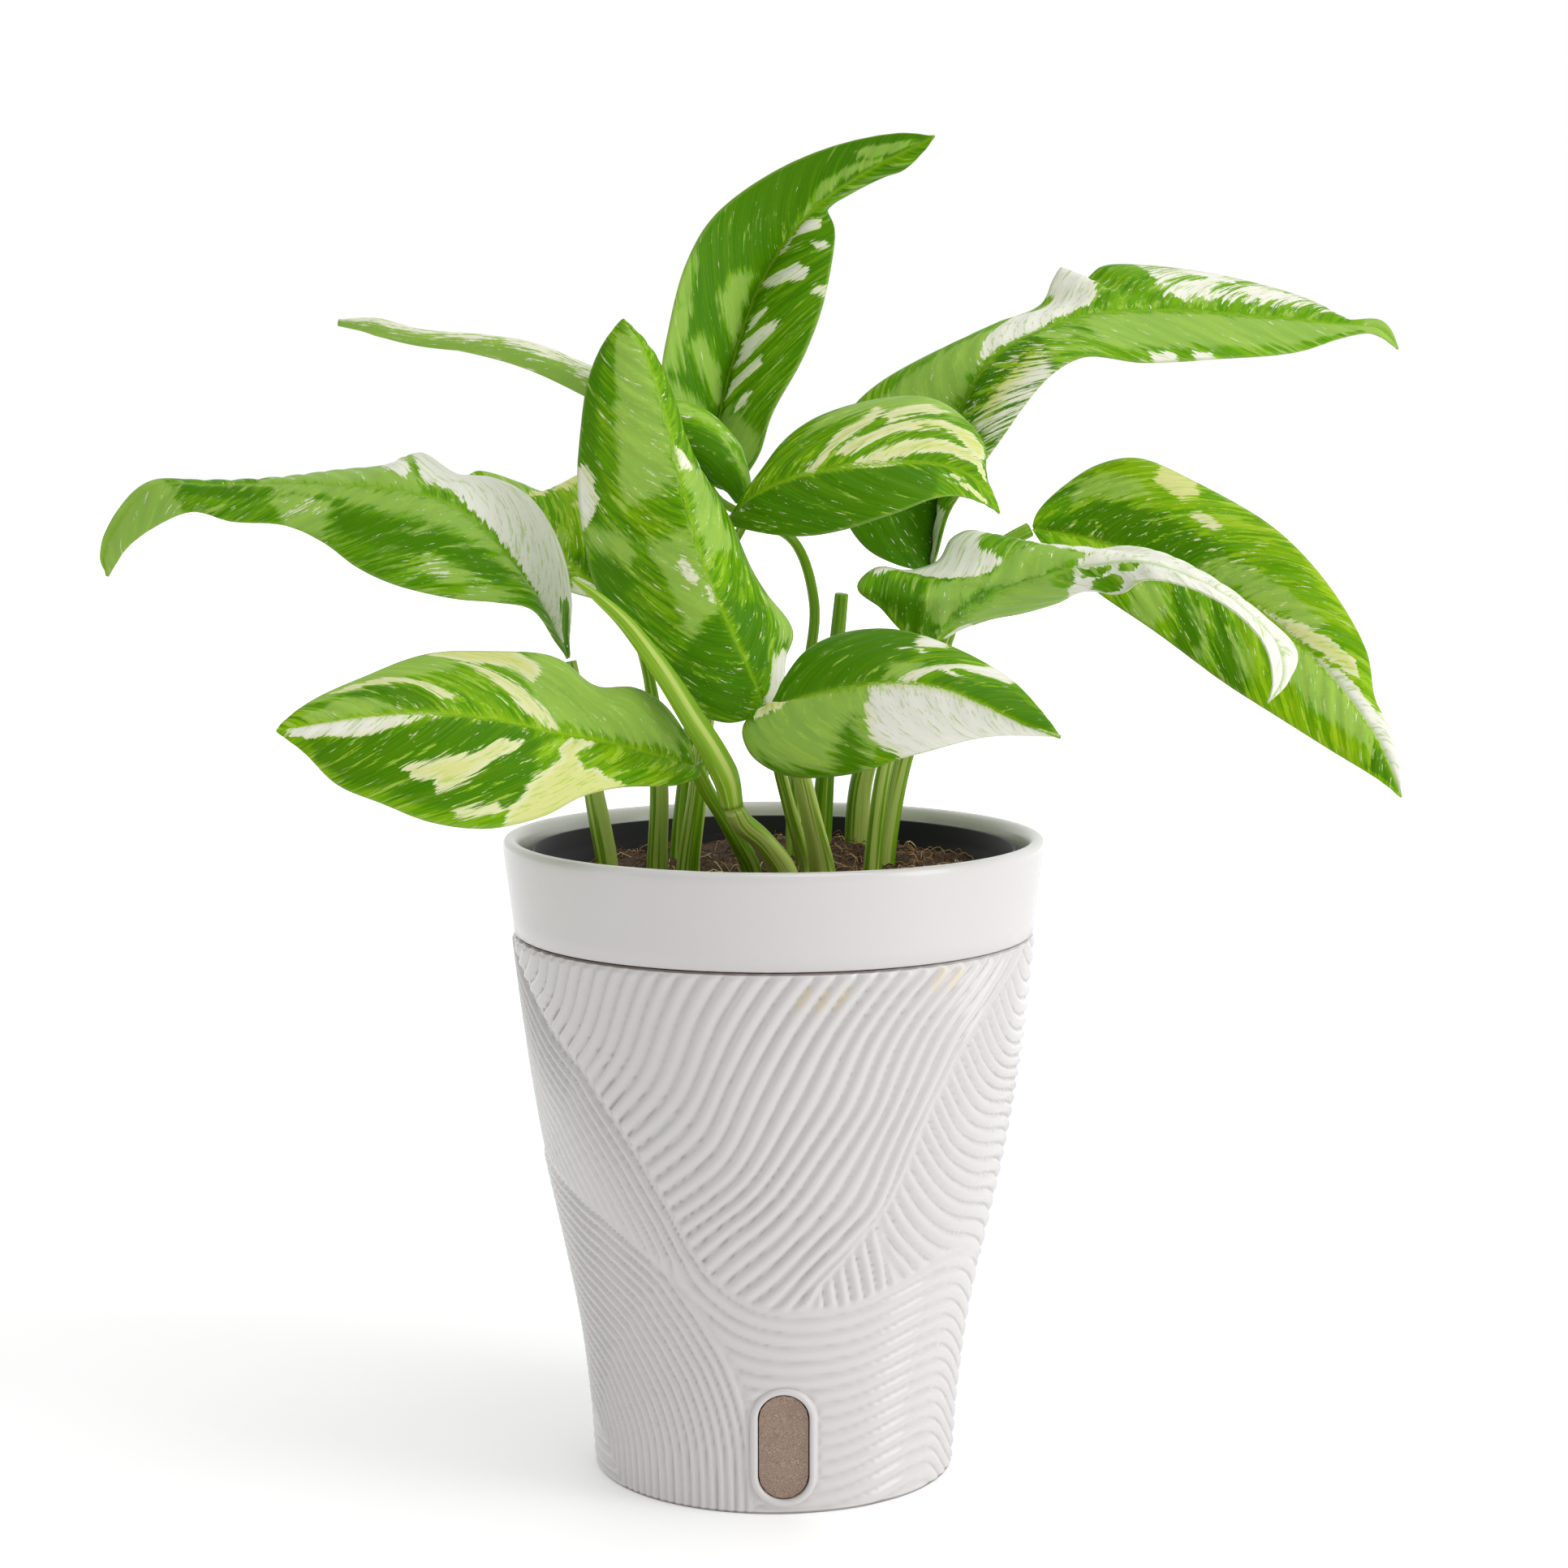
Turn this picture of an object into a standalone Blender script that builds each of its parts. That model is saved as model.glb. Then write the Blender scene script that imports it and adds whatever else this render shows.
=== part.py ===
"""Potted variegated monstera: a ribbed pot with a water window, its liner, the soil and the plant.

Lengths in the tables are millimetres. The origin is the middle of the pot's underside, +Z is up
and the water window faces -Y.
"""
import math

import bmesh
import bpy
import numpy as np

MM = 0.001
GAP = 0.3

# Outer pot
OUTER_TOP = 171.4
OUTER_WALL = 3.4
OUTER_FLOOR = 3.6
INNER_HEIGHTS = (OUTER_TOP, 120.0, 72.0, 46.0, OUTER_FLOOR)
OUTER_SHAPE = [(56.5, 0.0), (57.0, 8.0), (58.0, 22.0), (61.0, 46.0), (66.0, 72.0), (72.0, 100.0),
               (75.5, 120.0), (78.5, 141.0), (81.5, OUTER_TOP)]
RIB_COUNT = 40
RIB_ROWS = 16
RIB_HEIGHT = 1.6
RIB_SWIRL = -0.55
RIB_LOBES = 3
RIB_SWAY = 0.24
RIB_FADE = 5.0

# Water window
WINDOW_X = 3.1
WINDOW_LOW = 4.8
WINDOW_HIGH = 38.4
WINDOW_WIDTH = 15.6
WINDOW_FRAME = 2.0
WINDOW_MARGIN = 5.0
WINDOW_TILT = math.radians(4.5)
WINDOW_FACE_Y = -59.6
WINDOW_ARC_STEPS = 8
FRAME_PROUD = 0.8
FRAME_DEPTH = 6.0
HOLE_PROUD = 6.0
HOLE_DEPTH = 16.0
PANE_RECESS = 0.6
PANE_THICKNESS = 2.0

# Liner that hangs in the outer pot by its rim band
LINER_WALL = 2.0
LINER_PLAY = 0.5
LINER_FLOOR = 43.3
LINER_OUTSIDE_HEIGHTS = (120.0, 72.0, 46.0)
LINER_INSIDE_HEIGHTS = (72.0, 120.0, 166.0)
BAND_LOW_RADIUS = 81.7
RIM_OUTSIDE = [(83.0, 201.4), (84.5, 200.6), (85.0, 198.8)]
RIM_INSIDE = [(78.6, 180.0), (79.8, 198.4), (80.8, 200.6)]

# Nursery pot and soil
NURSERY_WALL = 1.2
NURSERY_TOP = 197.6
NURSERY_LIP_RADIUS = 76.2
NURSERY_LIP_LOW = 190.0
NURSERY_LIP_BEVEL = (0.4, 0.6)
NURSERY_TOP_RADIUS = 74.4
NURSERY_FLOOR_RADIUS = 52.0
NURSERY_FLOOR = LINER_FLOOR + LINER_WALL + GAP
SOIL_TOP = 188.0
SOIL_SHOULDER = 186.0
SOIL_RINGS = (58.0, 42.0, 24.0, 10.0)
SOIL_SIDES = 36
MOUND_HEIGHT = 4.0
MOUND_PLACE = (12.0, 45.0)
MOUND_REACH = 25.0
RIPPLE_HEIGHT = 0.7
RIPPLE_LENGTHS = (7.0, 9.0)
STEM_DEPTH = 12.0
HOLE_PLAY = 1.2
HOLE_SIDES = 10

# Wick from the water up into the soil
WICK_RADIUS = 3.0
WICK_TOP = 62.0

# Leaf blades
BLADE_THICKNESS = 0.8
BLADE_ROWS = 16
BLADE_COLUMNS = 3
BLADE_BULGE = 0.08
STEM_SAMPLES = 10

# Facets round the pot's axis
TURN_STEPS = 48

# Places on the plant are written as read off a front view: how far right and down in a picture of
# 1932 by 1932 points, and how deep behind the pot's axis. The view is taken from SIGHT_FROM, tilted
# down by SIGHT_TILT, and SIGHT_REACH is the distance at which one point is one millimetre.
SIGHT_FROM = (3.2, -1020.3, 339.5)
SIGHT_TILT = math.radians(6.83)
SIGHT_MIDDLE = 966
SIGHT_REACH = 4033

# Each blade hangs on three rails: its rib from base to tip, and its left and right margin
LEAVES = {
    "leaf_top": {
        "rib": [(872, 597, 20), (883, 530, 25), (905, 440, 29), (940, 345, 29), (999, 262, 22),
                (1075, 208, 10), (1154, 168, 0)],
        "left": [(838, 560, 10), (815, 480, 6), (826, 400, 8), (846, 322, 10), (880, 266, 12),
                 (953, 212, 10), (1030, 179, 6), (1110, 164, 0)],
        "right": [(900, 603, 16), (932, 565, 12), (950, 512, 10), (988, 445, 12), (1014, 372, 14),
                  (1028, 300, 21), (1026, 280, 24), (1018, 259, 26), (1026, 251, 26), (1060, 233, 22),
                  (1090, 218, 17), (1114, 208, 12)],
    },
    "leaf_front": {
        "rib": [(942, 868, -44), (910, 794, -50), (881, 731, -52), (862, 676, -52), (845, 610, -48),
                (830, 545, -42), (810, 475, -36), (789, 422, -31), (768, 391, -26)],
        "left": [(930, 882, -46), (900, 890, -46), (862, 880, -46), (820, 852, -44), (770, 774, -40),
                 (731, 716, -38), (716, 640, -36), (714, 560, -33), (722, 480, -29), (742, 428, -26)],
        "right": [(962, 862, -38), (968, 810, -34), (975, 780, -32), (945, 733, -30), (913, 671, -28),
                  (878, 606, -28), (848, 545, -27), (828, 490, -26), (808, 440, -25)],
    },
    "leaf_upper_right": {
        "rib": [(1146, 702, 42), (1155, 640, 42), (1167, 575, 40), (1184, 513, 36), (1209, 460, 32),
                (1252, 421, 30), (1339, 389, 28), (1440, 383, 25), (1533, 389, 20), (1640, 398, 14),
                (1700, 406, 12), (1726, 431, 10)],
        "left": [(1116, 699, 36), (1070, 678, 30), (1044, 645, 27), (1028, 590, 30), (1035, 530, 36),
                 (1060, 494, 40), (1136, 442, 44), (1218, 401, 46), (1284, 377, 46), (1299, 346, 46),
                 (1309, 332, 46), (1321, 347, 44), (1337, 346, 44), (1357, 329, 43), (1417, 326, 42),
                 (1533, 348, 34), (1620, 373, 24), (1655, 393, 20), (1703, 396, 14)],
        "right": [(1152, 690, 36), (1170, 632, 24), (1205, 580, 16), (1233, 540, 14), (1271, 488, 14),
                  (1300, 459, 14), (1339, 440, 14), (1412, 446, 12), (1500, 443, 10), (1600, 433, 8),
                  (1655, 416, 8), (1690, 411, 8)],
    },
    "leaf_striped": {
        "rib": [(897, 638, -11), (934, 608, -18), (980, 588, -22), (1030, 577, -26), (1090, 572, -28),
                (1150, 572, -28), (1198, 588, -28), (1234, 633, -26)],
        "left": [(908, 622, -13), (932, 587, -11), (965, 545, -7), (1020, 511, -2), (1080, 490, -2),
                 (1144, 493, -4), (1190, 518, -10), (1213, 548, -16), (1215, 590, -22)],
        "right": [(896, 645, -14), (926, 654, -21), (980, 661, -30), (1045, 652, -38),
                  (1100, 632, -42), (1152, 614, -40), (1183, 612, -36), (1206, 618, -32)],
    },
    "leaf_right": {
        "rib": [(1271, 651, 28), (1339, 664, 28), (1436, 697, 26), (1548, 752, 20), (1606, 799, 15),
                (1654, 850, 10), (1698, 912, 5), (1728, 984, 0)],
        "left": [(1281, 628, 32), (1320, 592, 38), (1354, 573, 40), (1400, 566, 40), (1465, 590, 38),
                 (1540, 630, 36), (1600, 680, 30), (1650, 738, 24), (1683, 803, 18), (1692, 860, 13),
                 (1716, 905, 8), (1724, 950, 3)],
        "right": [(1281, 666, 24), (1310, 698, 20), (1359, 735, 18), (1425, 780, 14), (1509, 842, 8),
                  (1567, 879, 5), (1640, 925, 2), (1700, 962, 0)],
    },
    "leaf_arched": {
        "rib": [(1153, 793, -8), (1174, 771, -11), (1203, 751, -14), (1240, 726, -16),
                (1290, 708, -18), (1350, 696, -20), (1410, 692, -22), (1470, 712, -24),
                (1530, 748, -27), (1574, 795, -30), (1580, 835, -32), (1562, 869, -33)],
        "left": [(1113, 778, -14), (1085, 748, -22), (1056, 721, -30), (1078, 700, -28),
                 (1120, 702, -24), (1155, 690, -20), (1172, 664, -14), (1199, 656, -8),
                 (1240, 674, -4), (1300, 684, -6), (1388, 674, -10), (1460, 698, -14),
                 (1535, 742, -19), (1597, 803, -26), (1588, 836, -30)],
        "right": [(1180, 776, -4), (1212, 765, 0), (1255, 757, 2), (1298, 742, 2), (1330, 730, -6),
                  (1380, 732, -18), (1414, 716, -26), (1470, 724, -30), (1523, 757, -33),
                  (1560, 800, -36), (1568, 840, -36)],
    },
    "leaf_low_front": {
        "rib": [(949, 869, -52), (995, 858, -57), (1041, 849, -61), (1100, 842, -64),
                (1155, 847, -66), (1210, 868, -67), (1265, 894, -68), (1308, 909, -68)],
        "left": [(956, 858, -50), (966, 838, -47), (995, 803, -43), (1040, 779, -41),
                 (1081, 774, -41), (1138, 787, -44), (1195, 805, -48), (1243, 838, -54),
                 (1279, 872, -61)],
        "right": [(929, 878, -50), (915, 900, -50), (925, 930, -51), (960, 952, -53),
                  (1023, 956, -54), (1066, 951, -56), (1120, 930, -58), (1180, 915, -60),
                  (1240, 906, -63), (1285, 906, -66)],
    },
    "leaf_left": {
        "rib": [(702, 813, -6), (683, 776, -10), (651, 719, -15), (605, 660, -19), (567, 627, -21),
                (521, 609, -22), (458, 599, -22), (365, 595, -22), (270, 597, -22), (190, 599, -22),
                (148, 640, -22), (128, 685, -22), (132, 713, -22)],
        "left": [(684, 790, -16), (655, 751, -24), (610, 742, -30), (560, 738, -34), (487, 721, -36),
                 (441, 700, -36), (397, 668, -34), (352, 648, -32), (285, 643, -30), (237, 631, -28),
                 (190, 650, -26), (157, 675, -25), (140, 700, -23)],
        "right": [(701, 791, 0), (704, 736, 4), (690, 675, 6), (650, 613, 6), (605, 588, 4),
                  (565, 583, 2), (517, 558, 2), (490, 574, 0), (420, 583, -4), (350, 591, -10),
                  (250, 594, -16), (182, 596, -19), (138, 640, -21), (123, 685, -22)],
    },
    "leaf_low_left": {
        "rib": [(856, 943, -34), (794, 926, -44), (740, 912, -50), (681, 901, -54), (605, 884, -57),
                (521, 877, -57), (440, 883, -54), (338, 900, -48)],
        "left": [(862, 955, -38), (835, 967, -46), (770, 970, -56), (719, 981, -62), (670, 1006, -66),
                 (600, 1021, -68), (529, 1013, -68), (470, 990, -64), (415, 966, -58),
                 (372, 925, -52)],
        "right": [(854, 925, -32), (837, 893, -30), (813, 866, -30), (780, 848, -32), (735, 844, -34),
                  (690, 815, -34), (640, 805, -34), (571, 801, -34), (500, 816, -36),
                  (430, 841, -40), (370, 874, -45)],
    },
    "leaf_behind": {
        "rib": [(777, 756, 26), (730, 718, 22), (696, 687, 20), (654, 648, 19), (620, 613, 18),
                (594, 589, 19), (575, 585, 19)],
        "left": [(760, 757, 19), (737, 739, 15), (705, 731, 11), (670, 715, 8), (636, 688, 7),
                 (602, 641, 9), (585, 601, 14)],
        "right": [(789, 701, 34), (775, 638, 40), (749, 599, 44), (716, 584, 43), (689, 596, 39),
                  (669, 607, 35), (638, 596, 30), (611, 585, 26), (591, 581, 22)],
    },
}

# How blades lean: each point of the view beyond a start adds this much depth
LEANS = {
    "leaf_top": ("up", 597, 0.050),
    "leaf_front": ("up", 868, 0.030),
    "leaf_upper_right": ("right", 1184, 0.076),
    "leaf_right": ("right", 1271, -0.070),
    "leaf_arched": ("right", 1237, -0.030),
    "leaf_low_front": ("right", 949, -0.073),
    "leaf_left": ("left", 701, 0.069),
    "leaf_low_left": ("left", 855, -0.048),
    "leaf_behind": ("left", 791, 0.091),
    "leaf_rolled": ("left", 826, 0.063),
}

# The leaf still rolled into a horn: its middle line, and the horn's radius along it
ROLLED_LINE = [(915, 617, -2), (907, 597, -2), (884, 566, -3), (860, 541, -5), (823, 521, -7),
               (775, 493, -8), (720, 469, -8), (653, 440, -10), (587, 425, -9), (517, 417, -9),
               (456, 402, -7), (418, 398, -7)]
ROLLED_RADII = [2.4, 8.0, 8.6, 7.0, 5.2, 4.6, 4.4, 3.6, 2.8, 2.6, 2.8, 0.9]
ROLLED_TURN = math.radians(285)
ROLLED_COLUMNS = 12

# The youngest leaf, a closed spear
SPEAR_LINE = [(902, 992, -47), (895, 960, -50), (878, 925, -54), (853, 885, -58), (828, 845, -62),
              (800, 805, -65), (768, 765, -67), (735, 735, -68), (704, 712, -68)]
SPEAR_RADII = [3.4, 4.2, 3.9, 3.6, 3.3, 2.9, 2.4, 1.7, 0.6]

# Leaf stalks: the places from the root in the soil up to just short of the leaf, then the radius
# at the foot and at the head, and the gap left under the leaf
STALKS = {
    "stalk_top": ([(977, 1066, 24), (981, 936, 20), (996, 824, 15), (1003, 742, 10), (979, 668, 14),
                   (923, 637, 24), (888, 618, 24)], 2.6, 1.2, 1.1),
    "stalk_rolled": ([(836, 1061, 33), (850, 900, 28), (868, 757, 18), (898, 679, 5),
                      (917, 641, -1)], 2.8, 1.4, 0.5),
    "stalk_striped": ([(848, 1077, 4), (859, 981, 2), (870, 880, 0), (890, 758, 0),
                       (901, 681, -5)], 4.0, 1.6, 0.5),
    "stalk_behind": ([(810, 1074, 9), (812, 967, 8), (802, 848, 15)], 4.0, 1.3, 0.7),
    "stalk_left": ([(749, 1082, -5), (732, 977, -6), (716, 879, -6)], 3.9, 2.0, 0.5),
    "stalk_low_left": ([(926, 1084, -9), (897, 1016, -20), (872, 976, -28)], 3.2, 2.2, 0.6),
    "stalk_spear": ([(965, 1089, -17), (940, 1037, -29), (912, 1011, -41)], 4.9, 2.9, 1.8),
    "stalk_front": ([(992, 1077, 4), (973, 997, -14), (953, 918, -31)], 3.0, 1.3, 1.2),
    "stalk_low_front": ([(1013, 1084, -7), (997, 997, -22), (978, 925, -38)], 4.7, 1.5, 0.9),
    "stalk_arched": ([(1075, 1079, 0), (1091, 944, -2), (1119, 867, -5)], 3.4, 1.5, 0.5),
    "stalk_right": ([(1092, 1068, 20), (1112, 939, 20), (1144, 848, 16), (1164, 790, 14),
                     (1194, 715, 19), (1236, 671, 25)], 3.2, 2.4, 0.9),
    "stalk_upper_right": ([(1055, 1051, 53), (1063, 956, 50), (1097, 872, 46), (1139, 789, 43)],
                          4.4, 1.8, 0.4),
    "stalk_cut": ([(1011, 1054, 46), (1021, 899, 41), (1037, 732, 34)], 3.6, 2.1, 0.0),
}

COLOURS = {
    "ceramic": ((0.80, 0.79, 0.79), 0.3),
    "window": ((0.30, 0.24, 0.19), 0.2),
    "nursery": ((0.02, 0.02, 0.02), 0.5),
    "soil": ((0.10, 0.05, 0.025), 0.95),
    "wick": ((0.75, 0.72, 0.65), 0.9),
    "blade": ((0.12, 0.32, 0.04), 0.35),
    "stalk": ((0.22, 0.42, 0.10), 0.4),
}


def clear_scene():
    for old in list(bpy.data.objects):
        bpy.data.objects.remove(old, do_unlink=True)


def new_collection(name):
    collection = bpy.data.collections.new(name)
    bpy.context.scene.collection.children.link(collection)
    return collection


def material(name):
    """The Principled material of one colour family, made on first use."""
    found = bpy.data.materials.get(name)
    if found:
        return found
    colour, roughness = COLOURS[name]
    made = bpy.data.materials.new(name)
    made.use_nodes = True
    shader = made.node_tree.nodes["Principled BSDF"]
    shader.inputs["Base Color"].default_value = (*colour, 1.0)
    shader.inputs["Roughness"].default_value = roughness
    return made


def place(name, data, collection, colour):
    """Make an object of the data, with a material of its own."""
    made = bpy.data.objects.new(name, data)
    collection.objects.link(made)
    own = material(colour).copy()
    own.name = name
    data.materials.append(own)
    return made


def mesh_of(name, points, faces):
    """A mesh from millimetre points, with its faces turned outward."""
    mesh = bpy.data.meshes.new(name)
    mesh.from_pydata([tuple(float(c) * MM for c in point) for point in points], [], faces)
    work = bmesh.new()
    work.from_mesh(mesh)
    bmesh.ops.recalc_face_normals(work, faces=work.faces)
    work.to_mesh(mesh)
    work.free()
    return mesh


def between(table, at):
    """Radius read from (radius, height) pairs at one height."""
    radii = [pair[0] for pair in table]
    heights = [pair[1] for pair in table]
    return float(np.interp(at, heights, radii))


def seen(right, down, depth):
    """The millimetre place of one point of the view, at a depth behind the pot's axis."""
    across = (right - SIGHT_MIDDLE) / SIGHT_REACH
    up = (SIGHT_MIDDLE - down) / SIGHT_REACH
    ahead = (depth - SIGHT_FROM[1]) / (math.cos(SIGHT_TILT) + up * math.sin(SIGHT_TILT))
    rise = up * math.cos(SIGHT_TILT) - math.sin(SIGHT_TILT)
    return np.array([SIGHT_FROM[0] + across * ahead, depth, SIGHT_FROM[2] + rise * ahead])


def placed(name, line):
    """A leaf's line in millimetres, with the leaf's lean added to its depths."""
    if name not in LEANS:
        return [seen(*spot) for spot in line]
    way, start, share = LEANS[name]
    places = []
    for right, down, depth in line:
        beyond = {"right": right - start, "left": start - right, "up": start - down}[way]
        places.append(seen(right, down, depth + share * max(0, beyond)))
    return places


def smooth_line(points, count):
    """Evenly spaced points along a smooth curve through the given points."""
    knots = np.array(points, float)
    chord = np.linalg.norm(np.diff(knots, axis=0), axis=1)
    along = np.concatenate([[0.0], np.cumsum(np.sqrt(chord))])
    slope = np.gradient(knots, along, axis=0)
    fine = np.linspace(0.0, along[-1], 40 * len(knots))
    piece = np.clip(np.searchsorted(along, fine, side="right") - 1, 0, len(knots) - 2)
    span = along[piece + 1] - along[piece]
    t = ((fine - along[piece]) / span)[:, None]
    span = span[:, None]
    curve = (knots[piece] * (1 + 2 * t) * (1 - t) ** 2 + slope[piece] * span * t * (1 - t) ** 2
             + knots[piece + 1] * t * t * (3 - 2 * t) - slope[piece + 1] * span * t * t * (1 - t))
    walked = np.concatenate([[0.0], np.cumsum(np.linalg.norm(np.diff(curve, axis=0), axis=1))])
    even = np.linspace(0.0, walked[-1], count)
    return np.stack([np.interp(even, walked, curve[:, axis]) for axis in range(3)], axis=1)


def blade_rows(leaf, rows, columns):
    """Rows of points across a blade, from the left margin over the rib to the right margin."""
    rib = smooth_line(leaf["rib"], rows + 1)
    ahead = np.gradient(rib, axis=0)
    margins = {}
    for side in ("left", "right"):
        rail = [leaf["rib"][0]] + leaf[side] + [leaf["rib"][-1]]
        margins[side] = smooth_line(rail, rows + 1)
    result = []
    for row in range(rows + 1):
        line = []
        for side, turn in (("left", 1.0), ("right", -1.0)):
            out = margins[side][row] - rib[row]
            up = turn * np.cross(ahead[row], out)
            up = up / max(np.linalg.norm(up), 1e-9)
            steps = [(k + 1) / columns for k in range(columns)]
            crown = BLADE_BULGE * 4 * np.linalg.norm(out)
            half = [rib[row] + out * s + up * crown * s * (1 - s) for s in steps]
            line = half[::-1] + [rib[row]] if side == "left" else line + half
        result.append(line)
    return result


def blade_mesh(name, rows):
    """A sheet over the rows, pointed at the base and the tip."""
    middle = len(rows[0]) // 2
    points = [rows[0][middle]]
    for line in rows[1:-1]:
        points.extend(line)
    points.append(rows[-1][middle])
    width = len(rows[0])
    tip = len(points) - 1
    faces = []
    for k in range(width - 1):
        faces.append((0, 1 + k, 2 + k))
        last = tip - width + k
        faces.append((last, tip, last + 1))
    for row in range(len(rows) - 3):
        start = 1 + row * width
        for k in range(width - 1):
            a, b = start + k, start + k + 1
            c, d = a + width, b + width
            if k < middle:
                faces.extend([(a, c, d), (a, d, b)])
            else:
                faces.extend([(a, c, b), (b, c, d)])
    return mesh_of(name, points, faces)


def thicken(made, thickness):
    solid = made.modifiers.new("thickness", "SOLIDIFY")
    solid.thickness = thickness * MM
    solid.offset = 0.0


def make_blades(collection):
    for name, lines in LEAVES.items():
        leaf = {rail: placed(name, line) for rail, line in lines.items()}
        mesh = blade_mesh(name, blade_rows(leaf, BLADE_ROWS, BLADE_COLUMNS))
        thicken(place(name, mesh, collection, "blade"), BLADE_THICKNESS)


def make_rolled_leaf(collection):
    """A sheet rolled round its middle line into a horn that is open below."""
    line = smooth_line(placed("leaf_rolled", ROLLED_LINE), BLADE_ROWS + 1)
    radii = np.interp(np.linspace(0, 1, BLADE_ROWS + 1), np.linspace(0, 1, len(ROLLED_RADII)),
                      ROLLED_RADII)
    ahead = np.gradient(line, axis=0)
    points = []
    for centre, direction, radius in zip(line, ahead, radii):
        side = np.cross(direction, (0, 0, 1))
        side = side / np.linalg.norm(side)
        up = np.cross(side, direction)
        up = up / np.linalg.norm(up)
        for k in range(ROLLED_COLUMNS + 1):
            angle = ROLLED_TURN * (k / ROLLED_COLUMNS - 0.5)
            points.append(centre + radius * (up * math.cos(angle) + side * math.sin(angle)))
    width = ROLLED_COLUMNS + 1
    faces = []
    for row in range(BLADE_ROWS):
        for k in range(ROLLED_COLUMNS):
            a = row * width + k
            faces.extend([(a, a + width, a + 1), (a + 1, a + width, a + width + 1)])
    thicken(place("leaf_rolled", mesh_of("leaf_rolled", points, faces), collection, "blade"),
            BLADE_THICKNESS)


def tube(name, line, radii, collection, colour):
    """A round stalk along a line, as a curve with closed ends."""
    curve = bpy.data.curves.new(name, "CURVE")
    curve.dimensions = "3D"
    curve.bevel_depth = MM
    curve.bevel_resolution = 2
    curve.use_fill_caps = True
    spline = curve.splines.new("POLY")
    spline.points.add(len(line) - 1)
    for point, place_at, radius in zip(spline.points, line, radii):
        point.co = (*(float(c) * MM for c in place_at), 1.0)
        point.radius = float(radius)
    return place(name, curve, collection, colour)


def leaf_base(name):
    """Where a leaf starts, or None when there is no such leaf."""
    lines = {"leaf_rolled": ROLLED_LINE, "leaf_spear": SPEAR_LINE}
    if name in LEAVES:
        lines[name] = LEAVES[name]["rib"]
    return placed(name, lines[name])[0] if name in lines else None


def stalk_points(name, route, gap):
    """The stalk's points from its foot in the soil up, ending just short of the leaf it carries."""
    x, y, _height = seen(*route[0])
    points = [(x, y, SOIL_TOP - STEM_DEPTH), (x, y, SOIL_TOP - STEM_DEPTH / 3),
              (x, y, SOIL_TOP + STEM_DEPTH / 4)] + [seen(*spot) for spot in route[1:]]
    base = leaf_base(name.replace("stalk", "leaf"))
    if base is not None:
        back = points[-1] - base
        points.append(base + back * gap / np.linalg.norm(back))
    return points


def make_stalks(collection):
    for name, (route, foot, head, gap) in STALKS.items():
        line = smooth_line(stalk_points(name, route, gap), STEM_SAMPLES)
        radii = np.linspace(foot, head, STEM_SAMPLES)
        tube(name, line, radii, collection, "stalk")
    line = smooth_line(placed("leaf_spear", SPEAR_LINE), len(SPEAR_LINE))
    tube("leaf_spear", line, SPEAR_RADII, collection, "blade")


def turned(name, profile, collection, colour):
    """A closed (radius, height) outline turned round the pot's axis."""
    mesh = bpy.data.meshes.new(name)
    points = [(radius * MM, 0.0, height * MM) for radius, height in profile]
    edges = [(k, (k + 1) % len(points)) for k in range(len(points))]
    mesh.from_pydata(points, edges, [])
    made = place(name, mesh, collection, colour)
    screw = made.modifiers.new("turn", "SCREW")
    screw.steps = TURN_STEPS
    screw.render_steps = TURN_STEPS
    screw.use_merge_vertices = True
    screw.merge_threshold = 0.00001
    screw.use_smooth_shade = True
    return made


def inner_radius(height):
    """Inner radius of the outer pot, straight between a few heights."""
    table = [(between(OUTER_SHAPE, h) - OUTER_WALL, h) for h in reversed(INNER_HEIGHTS)]
    return between(table, height)


def liner_radius(height):
    """Outer radius of the liner's body below its band."""
    return inner_radius(height) - LINER_PLAY


def make_liner(collection):
    """The liner: a rim band that sits on the outer pot, a body inside it and a floor with a hole."""
    hole = WICK_RADIUS + GAP
    low = OUTER_TOP + GAP
    floor_top = LINER_FLOOR + LINER_WALL
    floor_edge = liner_radius(LINER_FLOOR) - LINER_WALL
    profile = RIM_OUTSIDE + [(BAND_LOW_RADIUS, low), (liner_radius(low), low)]
    profile += [(liner_radius(height), height) for height in LINER_OUTSIDE_HEIGHTS]
    profile += [(floor_edge, LINER_FLOOR), (hole, LINER_FLOOR), (hole, floor_top),
                (floor_edge - LINER_WALL, floor_top)]
    profile += [(liner_radius(height) - LINER_WALL, height) for height in LINER_INSIDE_HEIGHTS]
    profile += RIM_INSIDE
    turned("liner", profile, collection, "ceramic")


def soil_radius(height):
    """Radius of the soil inside the nursery pot's wall."""
    table = [(NURSERY_FLOOR_RADIUS, NURSERY_FLOOR), (NURSERY_TOP_RADIUS, NURSERY_LIP_LOW)]
    return between(table, height - NURSERY_WALL) - NURSERY_WALL - 2 * GAP


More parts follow.
